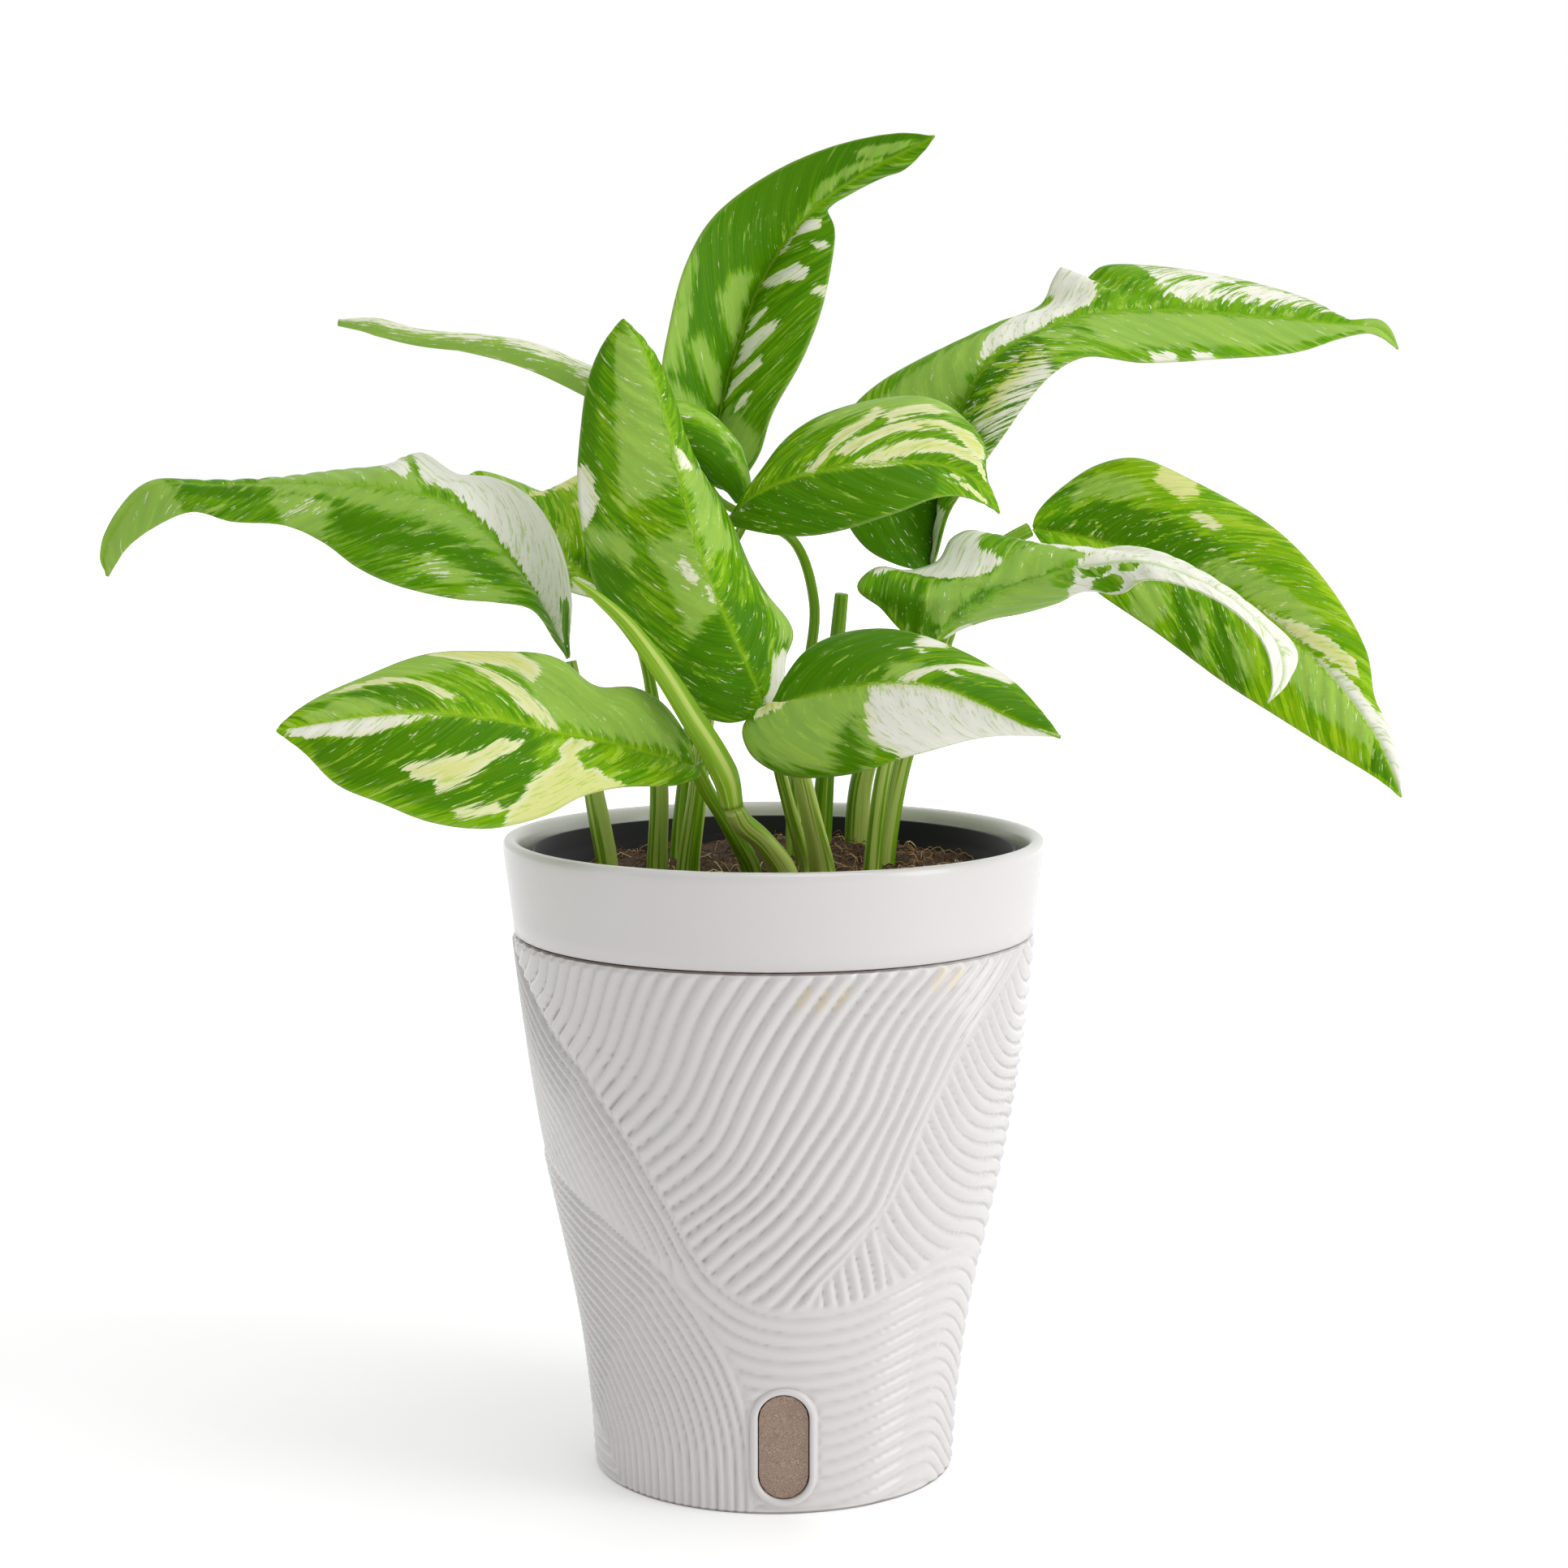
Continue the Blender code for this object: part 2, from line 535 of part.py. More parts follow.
def make_nursery_pot(collection):
    hole = WICK_RADIUS + GAP
    wall = NURSERY_WALL
    bevel_in, bevel_down = NURSERY_LIP_BEVEL
    profile = [(NURSERY_LIP_RADIUS - bevel_in, NURSERY_TOP),
               (NURSERY_LIP_RADIUS, NURSERY_TOP - bevel_down),
               (NURSERY_LIP_RADIUS, NURSERY_LIP_LOW),
               (NURSERY_TOP_RADIUS, NURSERY_LIP_LOW),
               (NURSERY_FLOOR_RADIUS, NURSERY_FLOOR), (hole, NURSERY_FLOOR),
               (hole, NURSERY_FLOOR + wall), (NURSERY_FLOOR_RADIUS - wall, NURSERY_FLOOR + wall),
               (NURSERY_TOP_RADIUS - wall, NURSERY_LIP_LOW + wall),
               (NURSERY_LIP_RADIUS - wall, NURSERY_LIP_LOW + 2 * wall),
               (NURSERY_LIP_RADIUS - wall, NURSERY_TOP)]
    turned("nursery_pot", profile, collection, "nursery")


def soil_height(x, y):
    """Top of the soil: a low mound behind the stalks, gently uneven."""
    away = math.hypot(x - MOUND_PLACE[0], y - MOUND_PLACE[1]) / MOUND_REACH
    ripple = RIPPLE_HEIGHT * math.sin(x / RIPPLE_LENGTHS[0]) * math.cos(y / RIPPLE_LENGTHS[1])
    return SOIL_TOP + MOUND_HEIGHT * math.exp(-away * away / 2) + ripple


def ring(radius, count):
    """Points evenly round the pot's axis, as (x, y) pairs."""
    angles = [2 * math.pi * k / count for k in range(count)]
    return [(radius * math.cos(angle), radius * math.sin(angle)) for angle in angles]


def make_soil(collection, cutters):
    """The filled soil, with a plain hole for each stalk and for the wick."""
    low = NURSERY_FLOOR + NURSERY_WALL + GAP
    points = [(x, y, low) for x, y in ring(soil_radius(low), SOIL_SIDES)]
    points += [(x, y, SOIL_SHOULDER) for x, y in ring(soil_radius(SOIL_SHOULDER), SOIL_SIDES)]
    for radius in SOIL_RINGS:
        points += [(x, y, soil_height(x, y)) for x, y in ring(radius, SOIL_SIDES)]
    faces = []
    for row in range(1 + len(SOIL_RINGS)):
        for k in range(SOIL_SIDES):
            a, b = row * SOIL_SIDES + k, row * SOIL_SIDES + (k + 1) % SOIL_SIDES
            faces.append((a, b, b + SOIL_SIDES, a + SOIL_SIDES))
    faces.append(tuple(range(SOIL_SIDES))[::-1])
    faces.append(tuple(range(len(points) - SOIL_SIDES, len(points))))
    made = place("soil", mesh_of("soil", points, faces), collection, "soil")
    cut(made, hole_cutter(cutters))


def hole_cutter(cutters):
    """One cutter with a plain upright hole for each stalk, and one from below for the wick."""
    work = bmesh.new()
    bottom, mouth = SOIL_TOP - STEM_DEPTH - GAP, SOIL_TOP + STEM_DEPTH
    wells = [(seen(*route[0]), foot + HOLE_PLAY, bottom, mouth)
             for route, foot, _head, _gap in STALKS.values()]
    wells.append(((0.0, 0.0, 0.0), WICK_RADIUS + GAP, NURSERY_FLOOR, WICK_TOP + GAP))
    for (x, y, _height), radius, low, high in wells:
        made = bmesh.ops.create_cone(work, cap_ends=True, segments=HOLE_SIDES,
                                     radius1=radius * MM, radius2=radius * MM,
                                     depth=(high - low) * MM)
        bmesh.ops.translate(work, verts=made["verts"], vec=(x * MM, y * MM, (low + high) / 2 * MM))
    mesh = bpy.data.meshes.new("stalk_holes")
    work.to_mesh(mesh)
    work.free()
    return as_cutter("stalk_holes", mesh, cutters)


def as_cutter(name, mesh, cutters):
    made = bpy.data.objects.new(name, mesh)
    cutters.objects.link(made)
    made.hide_render = True
    made.display_type = "WIRE"
    return made


def cut(made, cutter, operation="DIFFERENCE"):
    boolean = made.modifiers.new(cutter.name, "BOOLEAN")
    boolean.operation = operation
    boolean.object = cutter


def rib_angle(column, height):
    """Where a rib line stands: the lines swirl as they fall and gather into lobes near the foot."""
    start = 2 * math.pi * column / (2 * RIB_COUNT)
    fall = 1.0 - height / OUTER_TOP
    swirl = RIB_SWIRL * math.sin(0.5 * math.pi * fall)
    return start + swirl + RIB_SWAY * fall * math.sin(RIB_LOBES * start)


def rib_height(column, height, angle):
    """Crest on even lines and trough on odd lines, faded at both ends and round the window."""
    ends = min(1.0, (OUTER_TOP - height) / RIB_FADE, height / RIB_FADE)
    beside = abs(between(OUTER_SHAPE, height) * math.cos(angle) - WINDOW_X)
    low = height < WINDOW_HIGH + WINDOW_MARGIN + WINDOW_FRAME
    if low and math.sin(angle) < 0 and beside < WINDOW_WIDTH / 2 + WINDOW_MARGIN:
        return 0.0
    return RIB_HEIGHT * ends * (0.5 if column % 2 == 0 else -0.5)


def make_outer_pot(collection, cutters):
    """The ribbed pot as a lofted shell, with the framed window opening cut through its front."""
    columns = 2 * RIB_COUNT
    margin = RIB_FADE / 2
    heights = [0.0] + list(np.linspace(margin, OUTER_TOP - margin, RIB_ROWS)) + [OUTER_TOP]
    points = []
    for h in heights:
        for c in range(columns):
            angle = rib_angle(c, h)
            radius = between(OUTER_SHAPE, h) + rib_height(c, h, angle)
            points.append((radius * math.cos(angle), radius * math.sin(angle), h))
    for h in INNER_HEIGHTS:
        for c in range(columns):
            angle = rib_angle(c, OUTER_TOP)
            points.append((inner_radius(h) * math.cos(angle), inner_radius(h) * math.sin(angle), h))
    faces = []
    for row in range(len(heights) + len(INNER_HEIGHTS) - 1):
        for c in range(columns):
            a, b = row * columns + c, row * columns + (c + 1) % columns
            faces.extend([(a, b, b + columns), (a, b + columns, a + columns)])
    faces.append(tuple(range(columns))[::-1])
    faces.append(tuple(range(len(points) - columns, len(points))))
    made = place("outer_pot", mesh_of("outer_pot", points, faces), collection, "ceramic")
    frame = obround("window_frame_shape", WINDOW_FRAME, FRAME_DEPTH, FRAME_PROUD)
    cut(made, as_cutter("window_frame_shape", frame, cutters), "UNION")
    hole = obround("window_hole", 0.0, HOLE_DEPTH, HOLE_PROUD)
    cut(made, as_cutter("window_hole", hole, cutters))


def obround(name, grow, deep, proud):
    """An upright obround block across the window, tilted with the wall, wider by grow all round."""
    half = WINDOW_WIDTH / 2 + grow
    reach = (WINDOW_HIGH - WINDOW_LOW) / 2 - WINDOW_WIDTH / 2
    middle = (WINDOW_HIGH + WINDOW_LOW) / 2
    outline = []
    for first, centre in ((0.0, reach), (math.pi, -reach)):
        for k in range(WINDOW_ARC_STEPS + 1):
            turn = first + math.pi * k / WINDOW_ARC_STEPS
            outline.append((half * math.cos(turn), centre + half * math.sin(turn)))
    points = []
    for depth in (-proud, deep - proud):
        for x, up in outline:
            leaned = WINDOW_FACE_Y + depth - (up - reach) * math.tan(WINDOW_TILT)
            points.append((WINDOW_X + x, leaned, middle + up))
    count = len(outline)
    faces = [tuple(range(count)), tuple(range(count, 2 * count))[::-1]]
    faces += [(k, (k + 1) % count, (k + 1) % count + count, k + count) for k in range(count)]
    return mesh_of(name, points, faces)


def make_window_pane(collection):
    mesh = obround("window_pane", -GAP, PANE_THICKNESS, -PANE_RECESS)
    place("window_pane", mesh, collection, "window")


def make_wick(collection):
    low = OUTER_FLOOR + GAP
    line = [(0.0, 0.0, low), (0.0, 0.0, WICK_TOP)]
    tube("wick", line, [WICK_RADIUS] * 2, collection, "wick")


def main():
    clear_scene()
    parts = new_collection("potted_monstera")
    cutters = new_collection("cutters")
    make_outer_pot(parts, cutters)
    make_window_pane(parts)
    make_liner(parts)
    make_nursery_pot(parts)
    make_soil(parts, cutters)
    make_wick(parts)
    make_stalks(parts)
    make_blades(parts)
    make_rolled_leaf(parts)


main()
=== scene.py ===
"""Looks of the potted variegated monstera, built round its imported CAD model.

Lengths are in millimetres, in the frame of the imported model. The camera looks along +Y.
"""
import math
import random

import bmesh
import bpy
import numpy as np
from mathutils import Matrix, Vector, noise


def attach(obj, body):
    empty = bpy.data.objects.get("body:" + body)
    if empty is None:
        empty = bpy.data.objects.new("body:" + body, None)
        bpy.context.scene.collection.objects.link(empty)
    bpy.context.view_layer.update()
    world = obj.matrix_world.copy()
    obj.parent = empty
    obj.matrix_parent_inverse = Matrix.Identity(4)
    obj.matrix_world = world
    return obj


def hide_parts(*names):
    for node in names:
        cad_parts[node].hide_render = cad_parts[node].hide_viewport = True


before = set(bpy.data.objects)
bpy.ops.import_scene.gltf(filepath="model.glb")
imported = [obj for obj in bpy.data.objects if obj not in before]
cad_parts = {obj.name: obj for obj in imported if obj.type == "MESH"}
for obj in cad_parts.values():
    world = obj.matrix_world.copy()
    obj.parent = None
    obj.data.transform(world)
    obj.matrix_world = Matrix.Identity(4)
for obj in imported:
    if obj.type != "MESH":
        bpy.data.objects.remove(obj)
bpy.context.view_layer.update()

MM = 0.001

# Camera, fitted to the photograph, whose middle lies SIGHT_MIDDLE points from its edges and in
# which one point is one millimetre at the distance SIGHT_REACH
SIGHT_FROM = (3.2, -1020.3, 339.5)
SIGHT_TILT = math.radians(6.83)
SIGHT_MIDDLE = 966
SIGHT_REACH = 4033
SENSOR = 36.0

# Studio: how bright the room is to the left and to the right and how much is added overhead, the
# ranges of the view's direction over which that changes and over which the white backdrop comes in,
# and the soft lights in metres, each with its place, what it is turned to, its size and its power
ROOM_LEFT = 0.30
ROOM_RIGHT = 0.80
ROOM_ABOVE = 0.12
SIDEWAYS = (-0.7, 0.9)
OVERHEAD = (0.1, 0.7)
BACKWARDS = (0.25, 0.75)
LIGHTS = [
    ("left", (-1.3, -0.5, 0.6), (0, 0, 0.2), (0.5, 1.2), 1.5),
    ("right", (1.3, -0.6, 0.7), (0, 0, 0.2), (0.6, 1.2), 7.5),
    ("top", (0.3, -0.3, 1.7), (0, 0, 0.2), (1.0, 0.8), 6.0),
]

# Floor, in metres: its edges, and how it glows more with the distance behind the part
FLOOR_SIDE = 6
FLOOR_NEAR = -3
FLOOR_FAR = 9
FLOOR_WHITE = (0.88, 0.88, 0.88)
GLOW_START = 0.2
GLOW_END = 2.5
GLOW_LOW = 0.24
GLOW_HIGH = 0.8

# Blades
BLADE_ROWS = 190
HALF_COLUMNS = 22
BLADE_ENDS = (0.004, 0.996)
WIDTH_SHARE = 0.85
BLADE_THICKNESS = 0.7
BLADE_BULGE = 0.08
GROOVE_WIDTH = 1.3
GROOVE_DEPTH = 0.5
VEIN_SLANT = 1.5
VEIN_SPACING = 9.0
VEIN_RIDGE = 0.22
VEIN_SHARPNESS = 0.7
VEIN_FADE = 3.0
EDGE_WAVE = 0.7
EDGE_WAVES = 3.1
NOISE_STEP = 5.0
SIDE_STEP = 2.0
RIB_PAINT_WIDTH = 0.9
EDGE_PAINT_START = 0.97
EDGE_PAINT_WIDTH = 0.03
PAINT_SOFTNESS = 2.4
SHADE_SOFTNESS = 4.5
SHARP_KINDS = ("white", "cream", "green")
MARGIN_REACH = 1.15

# What each kind of marking raises, and what it holds down, each with its share
RAISES = {"white": {"white": 1.0}, "cream": {"white": 1.0, "yellow": 1.0}, "yellow": {"yellow": 1.0},
          "pale": {"pale": 1.0}, "dark": {"dark": 1.0}, "fleck": {"fleck": 1.0},
          "patchy": {"white": 0.52}, "green": {}}
LOWERS = {"white": {"yellow": 1.0}, "pale": {"dark": 1.0}, "dark": {"pale": 0.8},
          "green": {"white": 1.0, "pale": 0.7}}

# Outer pot: outlines are (radius, height), and its columns stand closer in front than behind.
# Turned bodies end MIDDLE_RADIUS from the axis.
OUTER_TOP = 171.4
OUTER_WALL = 3.4
OUTER_FLOOR = 3.6
OUTER_SHAPE = [(56.5, 0.0), (57.0, 8.0), (58.0, 22.0), (61.0, 46.0), (66.0, 72.0), (72.0, 100.0),
               (75.5, 120.0), (78.5, 141.0), (81.5, OUTER_TOP)]
MIDDLE_RADIUS = 0.5
OUTER_UNDERSIDE = [(MIDDLE_RADIUS, 1.2), (52.0, 1.2), (53.5, 0.0)]
INNER_HEIGHTS = (OUTER_TOP, 120.0, 72.0, 46.0, OUTER_FLOOR)
POT_ROWS = 205
FRONT_COLUMNS = 290
BACK_COLUMNS = 165
FRONT_TURN = 95
CURVE_STEPS = 40
WALL_STEPS = 400

# Raked waves: ARC is the millimetres that one degree spans on the wall. Heights are in millimetres.
ARC = 1.3
WALL_RELIEF = 0.95
RIB_EASE = 60.0
CREST_SHAPE = 0.75
BORDER_FADE = 1.8
LOBE_LIFT = 0.5
LOBE_LIFT_REACH = 2.0
RIGHT_STRENGTH = 0.95
BAND_STRENGTH = 0.75
FOOT_STRENGTH = 0.87
LEFT_STRENGTH = 1.25
LEFT_STRENGTHS = (0.3, 1.2)
LEFT_WEAKENING = 28.0
LEFT_FADE_LOW = 70
LEFT_FADE_REACH = 12
TOP_PLAIN = 0.2
TOP_FADE = 1.6
FOOT_FADE = 1.5
WINDOW_PLAIN = 2.2
WINDOW_FADE = 1.6

# Pits at the ends of the lobe's valleys, inside its left border, and the leaning line that they
# stay left of: its angle at a height, and the millimetres that it rises for each degree to the left
PIT_DEPTH = 0.45
PIT_PLACE = 1.5
PIT_WIDTH = 0.9
PIT_LINE = (6, 66)
PIT_LINE_RISE = 9

# Water window
WINDOW_X = 3.1
WINDOW_LOW = 4.8
WINDOW_HIGH = 38.4
WINDOW_WIDTH = 15.6
WINDOW_TILT = math.radians(4.5)
WINDOW_FACE_Y = -59.6
WINDOW_CUT = 1.0
WINDOW_CUT_Y = -40
FAR_AWAY = 99.0
FRAME_STEPS = 32
FRAME_PROFILE = [(3.0, 3.5), (2.4, 0.6), (2.1, -0.25), (1.5, -0.7), (0.9, -0.8), (0.4, -0.6),
                 (0.1, -0.1), (0.0, 0.8), (0.0, 5.2)]

# Liner
LINER_WALL = 2.0
LINER_PLAY = 0.5
LINER_FLOOR = 43.3
SEAM_GAP = 0.3
BAND_LOW = OUTER_TOP + SEAM_GAP
BAND_LOW_RADIUS = 81.7
LINER_BAND = [(BAND_LOW_RADIUS - 0.5, BAND_LOW), (BAND_LOW_RADIUS, BAND_LOW + 0.4), (82.2, 177.0),
              (83.1, 184.0), (84.1, 191.5), (84.8, 197.0), (85.0, 199.0), (84.8, 200.2),
              (84.2, 201.0), (83.0, 201.4), (81.6, 201.1), (80.6, 200.2), (79.9, 198.4),
              (79.2, 190.0), (78.6, 180.0)]
LINER_SIDES = 240
LINER_INSIDE_HEIGHTS = (166.0, 122.6, 65.0)
LINER_OUTSIDE_HEIGHTS = (46.0, 65.0, 122.6, BAND_LOW)

# Nursery pot and soil
NURSERY_SIDES = 180
NURSERY_WALL = 1.2
NURSERY_TOP = 197.6
NURSERY_LIP_RADIUS = 76.2
NURSERY_LIP_LOW = 190.0
NURSERY_TOP_RADIUS = 74.4
NURSERY_FLOOR_RADIUS = 52.0
NURSERY_FLOOR = LINER_FLOOR + LINER_WALL + SEAM_GAP
WICK_HOLE = 3.3
SOIL_TOP = 188.0
SOIL_RADIUS = 72.6
SOIL_FOOT_RADIUS = 50.4
SOIL_MIDDLE = 0.4
SOIL_FOOT = 47.0
SOIL_EDGE = 184.0
SOIL_SIDES = 300
SOIL_RINGS = 100
MOUND_HEIGHT = 4.0
MOUND_PLACE = (12.0, 45.0)
MOUND_REACH = 25.0
STEM_DEPTH = 12.0

# Lumps, crumbs and grains of the soil's top: their size, the slice of the noise and their height
SOIL_LUMPS = [(11.0, 3.1, 1.6), (2.6, 7.7, 1.1), (0.9, 1.3, 0.5)]

# Fibres on the soil: how many, how they keep inside the pot, and the ranges that are drawn from
FIBRE_COUNT = 760
FIBRE_SEED = 7
FIBRE_SPREAD = 0.97
FIBRE_MARGIN = 0.8
FIBRE_PULL = 0.97
FIBRE_BASE = 0.2
FIBRE_STEPS = 7
FIBRE_SIDES = 3
FIBRE_LENGTHS = (3.0, 12.0)
FIBRE_BEND = 0.12
FIBRE_WIDTHS = (0.12, 0.32)
FIBRE_LIFTS = (0.2, 2.8)
FIBRES = [
    ("dark fibre", (0.10, 0.05, 0.025), 0.8),
    ("brown fibre", (0.27, 0.135, 0.06), 0.8),
    ("light fibre", (0.46, 0.27, 0.13), 0.8),
    ("straw", (0.72, 0.60, 0.32), 0.7),
]


# Each blade hangs on three rails: its rib from base to tip, and its left and right margin.
# The places are written as read off the photograph, a picture of 1932 by 1932 points:
# how far right and down, and how deep behind the pot's axis.
LEAVES = {
    "leaf_top": {
        "rib": [(872, 597, 20), (883, 530, 25), (905, 440, 29), (940, 345, 29), (999, 262, 22),
            (1075, 208, 10), (1154, 168, 0)],
        "left": [(838, 560, 10), (815, 480, 6), (826, 400, 8), (846, 322, 10), (880, 266, 12),
            (953, 212, 10), (1030, 179, 6), (1110, 164, 0)],
        "right": [(900, 603, 16), (932, 565, 12), (950, 512, 10), (988, 445, 12), (1014, 372, 14),
            (1028, 300, 21), (1026, 280, 24), (1018, 259, 26), (1026, 251, 26), (1060, 233, 22),
            (1090, 218, 17), (1114, 208, 12)],
    },
    "leaf_front": {
        "rib": [(942, 868, -44), (910, 794, -50), (881, 731, -52), (862, 676, -52), (845, 610, -48),
            (830, 545, -42), (810, 475, -36), (789, 422, -31), (768, 391, -26)],
        "left": [(930, 882, -46), (900, 890, -46), (862, 880, -46), (820, 852, -44), (770, 774, -40),
            (731, 716, -38), (716, 640, -36), (714, 560, -33), (722, 480, -29), (742, 428, -26)],
        "right": [(962, 862, -38), (968, 810, -34), (975, 780, -32), (945, 733, -30), (913, 671, -28),
            (878, 606, -28), (848, 545, -27), (828, 490, -26), (808, 440, -25)],
    },
    "leaf_upper_right": {
        "rib": [(1146, 702, 42), (1155, 640, 42), (1167, 575, 40), (1184, 513, 36), (1209, 460, 32),
            (1252, 421, 30), (1339, 389, 28), (1440, 383, 25), (1533, 389, 20), (1640, 398, 14),
            (1700, 406, 12), (1726, 431, 10)],
        "left": [(1116, 699, 36), (1070, 678, 30), (1044, 645, 27), (1028, 590, 30), (1035, 530, 36),
            (1060, 494, 40), (1136, 442, 44), (1218, 401, 46), (1284, 377, 46), (1299, 346, 46),
            (1309, 332, 46), (1321, 347, 44), (1337, 346, 44), (1357, 329, 43), (1417, 326, 42),
            (1533, 348, 34), (1620, 373, 24), (1655, 393, 20), (1703, 396, 14)],
        "right": [(1152, 690, 36), (1170, 632, 24), (1205, 580, 16), (1233, 540, 14), (1271, 488, 14),
            (1300, 459, 14), (1339, 440, 14), (1412, 446, 12), (1500, 443, 10), (1600, 433, 8),
            (1655, 416, 8), (1690, 411, 8)],
    },
    "leaf_striped": {
        "rib": [(897, 638, -11), (934, 608, -18), (980, 588, -22), (1030, 577, -26), (1090, 572, -28),
            (1150, 572, -28), (1198, 588, -28), (1234, 633, -26)],
        "left": [(908, 622, -13), (932, 587, -11), (965, 545, -7), (1020, 511, -2), (1080, 490, -2),
            (1144, 493, -4), (1190, 518, -10), (1213, 548, -16), (1215, 590, -22)],
        "right": [(896, 645, -14), (926, 654, -21), (980, 661, -30), (1045, 652, -38),
            (1100, 632, -42), (1152, 614, -40), (1183, 612, -36), (1206, 618, -32)],
    },
    "leaf_right": {
        "rib": [(1271, 651, 28), (1339, 664, 28), (1436, 697, 26), (1548, 752, 20), (1606, 799, 15),
            (1654, 850, 10), (1698, 912, 5), (1728, 984, 0)],
        "left": [(1281, 628, 32), (1320, 592, 38), (1354, 573, 40), (1400, 566, 40), (1465, 590, 38),
            (1540, 630, 36), (1600, 680, 30), (1650, 738, 24), (1683, 803, 18), (1692, 860, 13),
            (1716, 905, 8), (1724, 950, 3)],
        "right": [(1281, 666, 24), (1310, 698, 20), (1359, 735, 18), (1425, 780, 14), (1509, 842, 8),
            (1567, 879, 5), (1640, 925, 2), (1700, 962, 0)],
    },
    "leaf_arched": {
        "rib": [(1153, 793, -8), (1174, 771, -11), (1203, 751, -14), (1240, 726, -16),
            (1290, 708, -18), (1350, 696, -20), (1410, 692, -22), (1470, 712, -24), (1530, 748, -27),
            (1574, 795, -30), (1580, 835, -32), (1562, 869, -33)],
        "left": [(1113, 778, -14), (1085, 748, -22), (1056, 721, -30), (1078, 700, -28),
            (1120, 702, -24), (1155, 690, -20), (1172, 664, -14), (1199, 656, -8), (1240, 674, -4),
            (1300, 684, -6), (1388, 674, -10), (1460, 698, -14), (1535, 742, -19), (1597, 803, -26),
            (1588, 836, -30)],
        "right": [(1180, 776, -4), (1212, 765, 0), (1255, 757, 2), (1298, 742, 2), (1330, 730, -6),
            (1380, 732, -18), (1414, 716, -26), (1470, 724, -30), (1523, 757, -33), (1560, 800, -36),
            (1568, 840, -36)],
    },
    "leaf_low_front": {
        "rib": [(949, 869, -52), (995, 858, -57), (1041, 849, -61), (1100, 842, -64), (1155, 847, -66),
            (1210, 868, -67), (1265, 894, -68), (1308, 909, -68)],
        "left": [(956, 858, -50), (966, 838, -47), (995, 803, -43), (1040, 779, -41), (1081, 774, -41),
            (1138, 787, -44), (1195, 805, -48), (1243, 838, -54), (1279, 872, -61)],
        "right": [(929, 878, -50), (915, 900, -50), (925, 930, -51), (960, 952, -53), (1023, 956, -54),
            (1066, 951, -56), (1120, 930, -58), (1180, 915, -60), (1240, 906, -63), (1285, 906, -66)],
    },
    "leaf_left": {
        "rib": [(702, 813, -6), (683, 776, -10), (651, 719, -15), (605, 660, -19), (567, 627, -21),
            (521, 609, -22), (458, 599, -22), (365, 595, -22), (270, 597, -22), (190, 599, -22),
            (148, 640, -22), (128, 685, -22), (132, 713, -22)],
        "left": [(684, 790, -16), (655, 751, -24), (610, 742, -30), (560, 738, -34), (487, 721, -36),
            (441, 700, -36), (397, 668, -34), (352, 648, -32), (285, 643, -30), (237, 631, -28),
            (190, 650, -26), (157, 675, -25), (140, 700, -23)],
        "right": [(701, 791, 0), (704, 736, 4), (690, 675, 6), (650, 613, 6), (605, 588, 4),
            (565, 583, 2), (517, 558, 2), (490, 574, 0), (420, 583, -4), (350, 591, -10),
            (250, 594, -16), (182, 596, -19), (138, 640, -21), (123, 685, -22)],
    },
    "leaf_low_left": {
        "rib": [(856, 943, -34), (794, 926, -44), (740, 912, -50), (681, 901, -54), (605, 884, -57),
            (521, 877, -57), (440, 883, -54), (338, 900, -48)],
        "left": [(862, 955, -38), (835, 967, -46), (770, 970, -56), (719, 981, -62), (670, 1006, -66),
            (600, 1021, -68), (529, 1013, -68), (470, 990, -64), (415, 966, -58), (372, 925, -52)],
        "right": [(854, 925, -32), (837, 893, -30), (813, 866, -30), (780, 848, -32), (735, 844, -34),
            (690, 815, -34), (640, 805, -34), (571, 801, -34), (500, 816, -36), (430, 841, -40),
            (370, 874, -45)],
    },
    "leaf_behind": {
        "rib": [(777, 756, 26), (730, 718, 22), (696, 687, 20), (654, 648, 19), (620, 613, 18),
            (594, 589, 19), (575, 585, 19)],
        "left": [(760, 757, 19), (737, 739, 15), (705, 731, 11), (670, 715, 8), (636, 688, 7),
            (602, 641, 9), (585, 601, 14)],
        "right": [(789, 701, 34), (775, 638, 40), (749, 599, 44), (716, 584, 43), (689, 596, 39),
            (669, 607, 35), (638, 596, 30), (611, 585, 26), (591, 581, 22)],
    },
}

# How blades lean: each point of the view beyond a start adds this much depth
LEANS = {
    "leaf_top": ("up", 597, 0.050),
    "leaf_front": ("up", 868, 0.030),
    "leaf_upper_right": ("right", 1184, 0.076),
    "leaf_right": ("right", 1271, -0.070),
    "leaf_arched": ("right", 1237, -0.030),
    "leaf_low_front": ("right", 949, -0.073),
    "leaf_left": ("left", 701, 0.069),
    "leaf_low_left": ("left", 855, -0.048),
    "leaf_behind": ("left", 791, 0.091),
    "leaf_rolled": ("left", 826, 0.063),
}

# The leaf still rolled into a horn: its middle line, and the horn's radius along it
ROLLED_LINE = [(915, 617, -2), (907, 597, -2), (884, 566, -3), (860, 541, -5), (823, 521, -7),
    (775, 493, -8), (720, 469, -8), (653, 440, -10), (587, 425, -9), (517, 417, -9), (456, 402, -7),
    (418, 398, -7)]
ROLLED_RADII = [2.4, 8.0, 8.6, 7.0, 5.2, 4.6, 4.4, 3.6, 2.8, 2.6, 2.8, 0.9]
ROLLED_TURN = math.radians(285)
ROLLED_ROWS = 120
ROLLED_COLUMNS = 48
ROLLED_NOISE = 77.0
ROLLED_SLANT = 0.15
ROLLED_MOTTLE = 0.3
ROLLED_YELLOW = 0.25
ROLLED_VEIN_REACH = 7.0
ROLLED_HOOD_START = 0.30
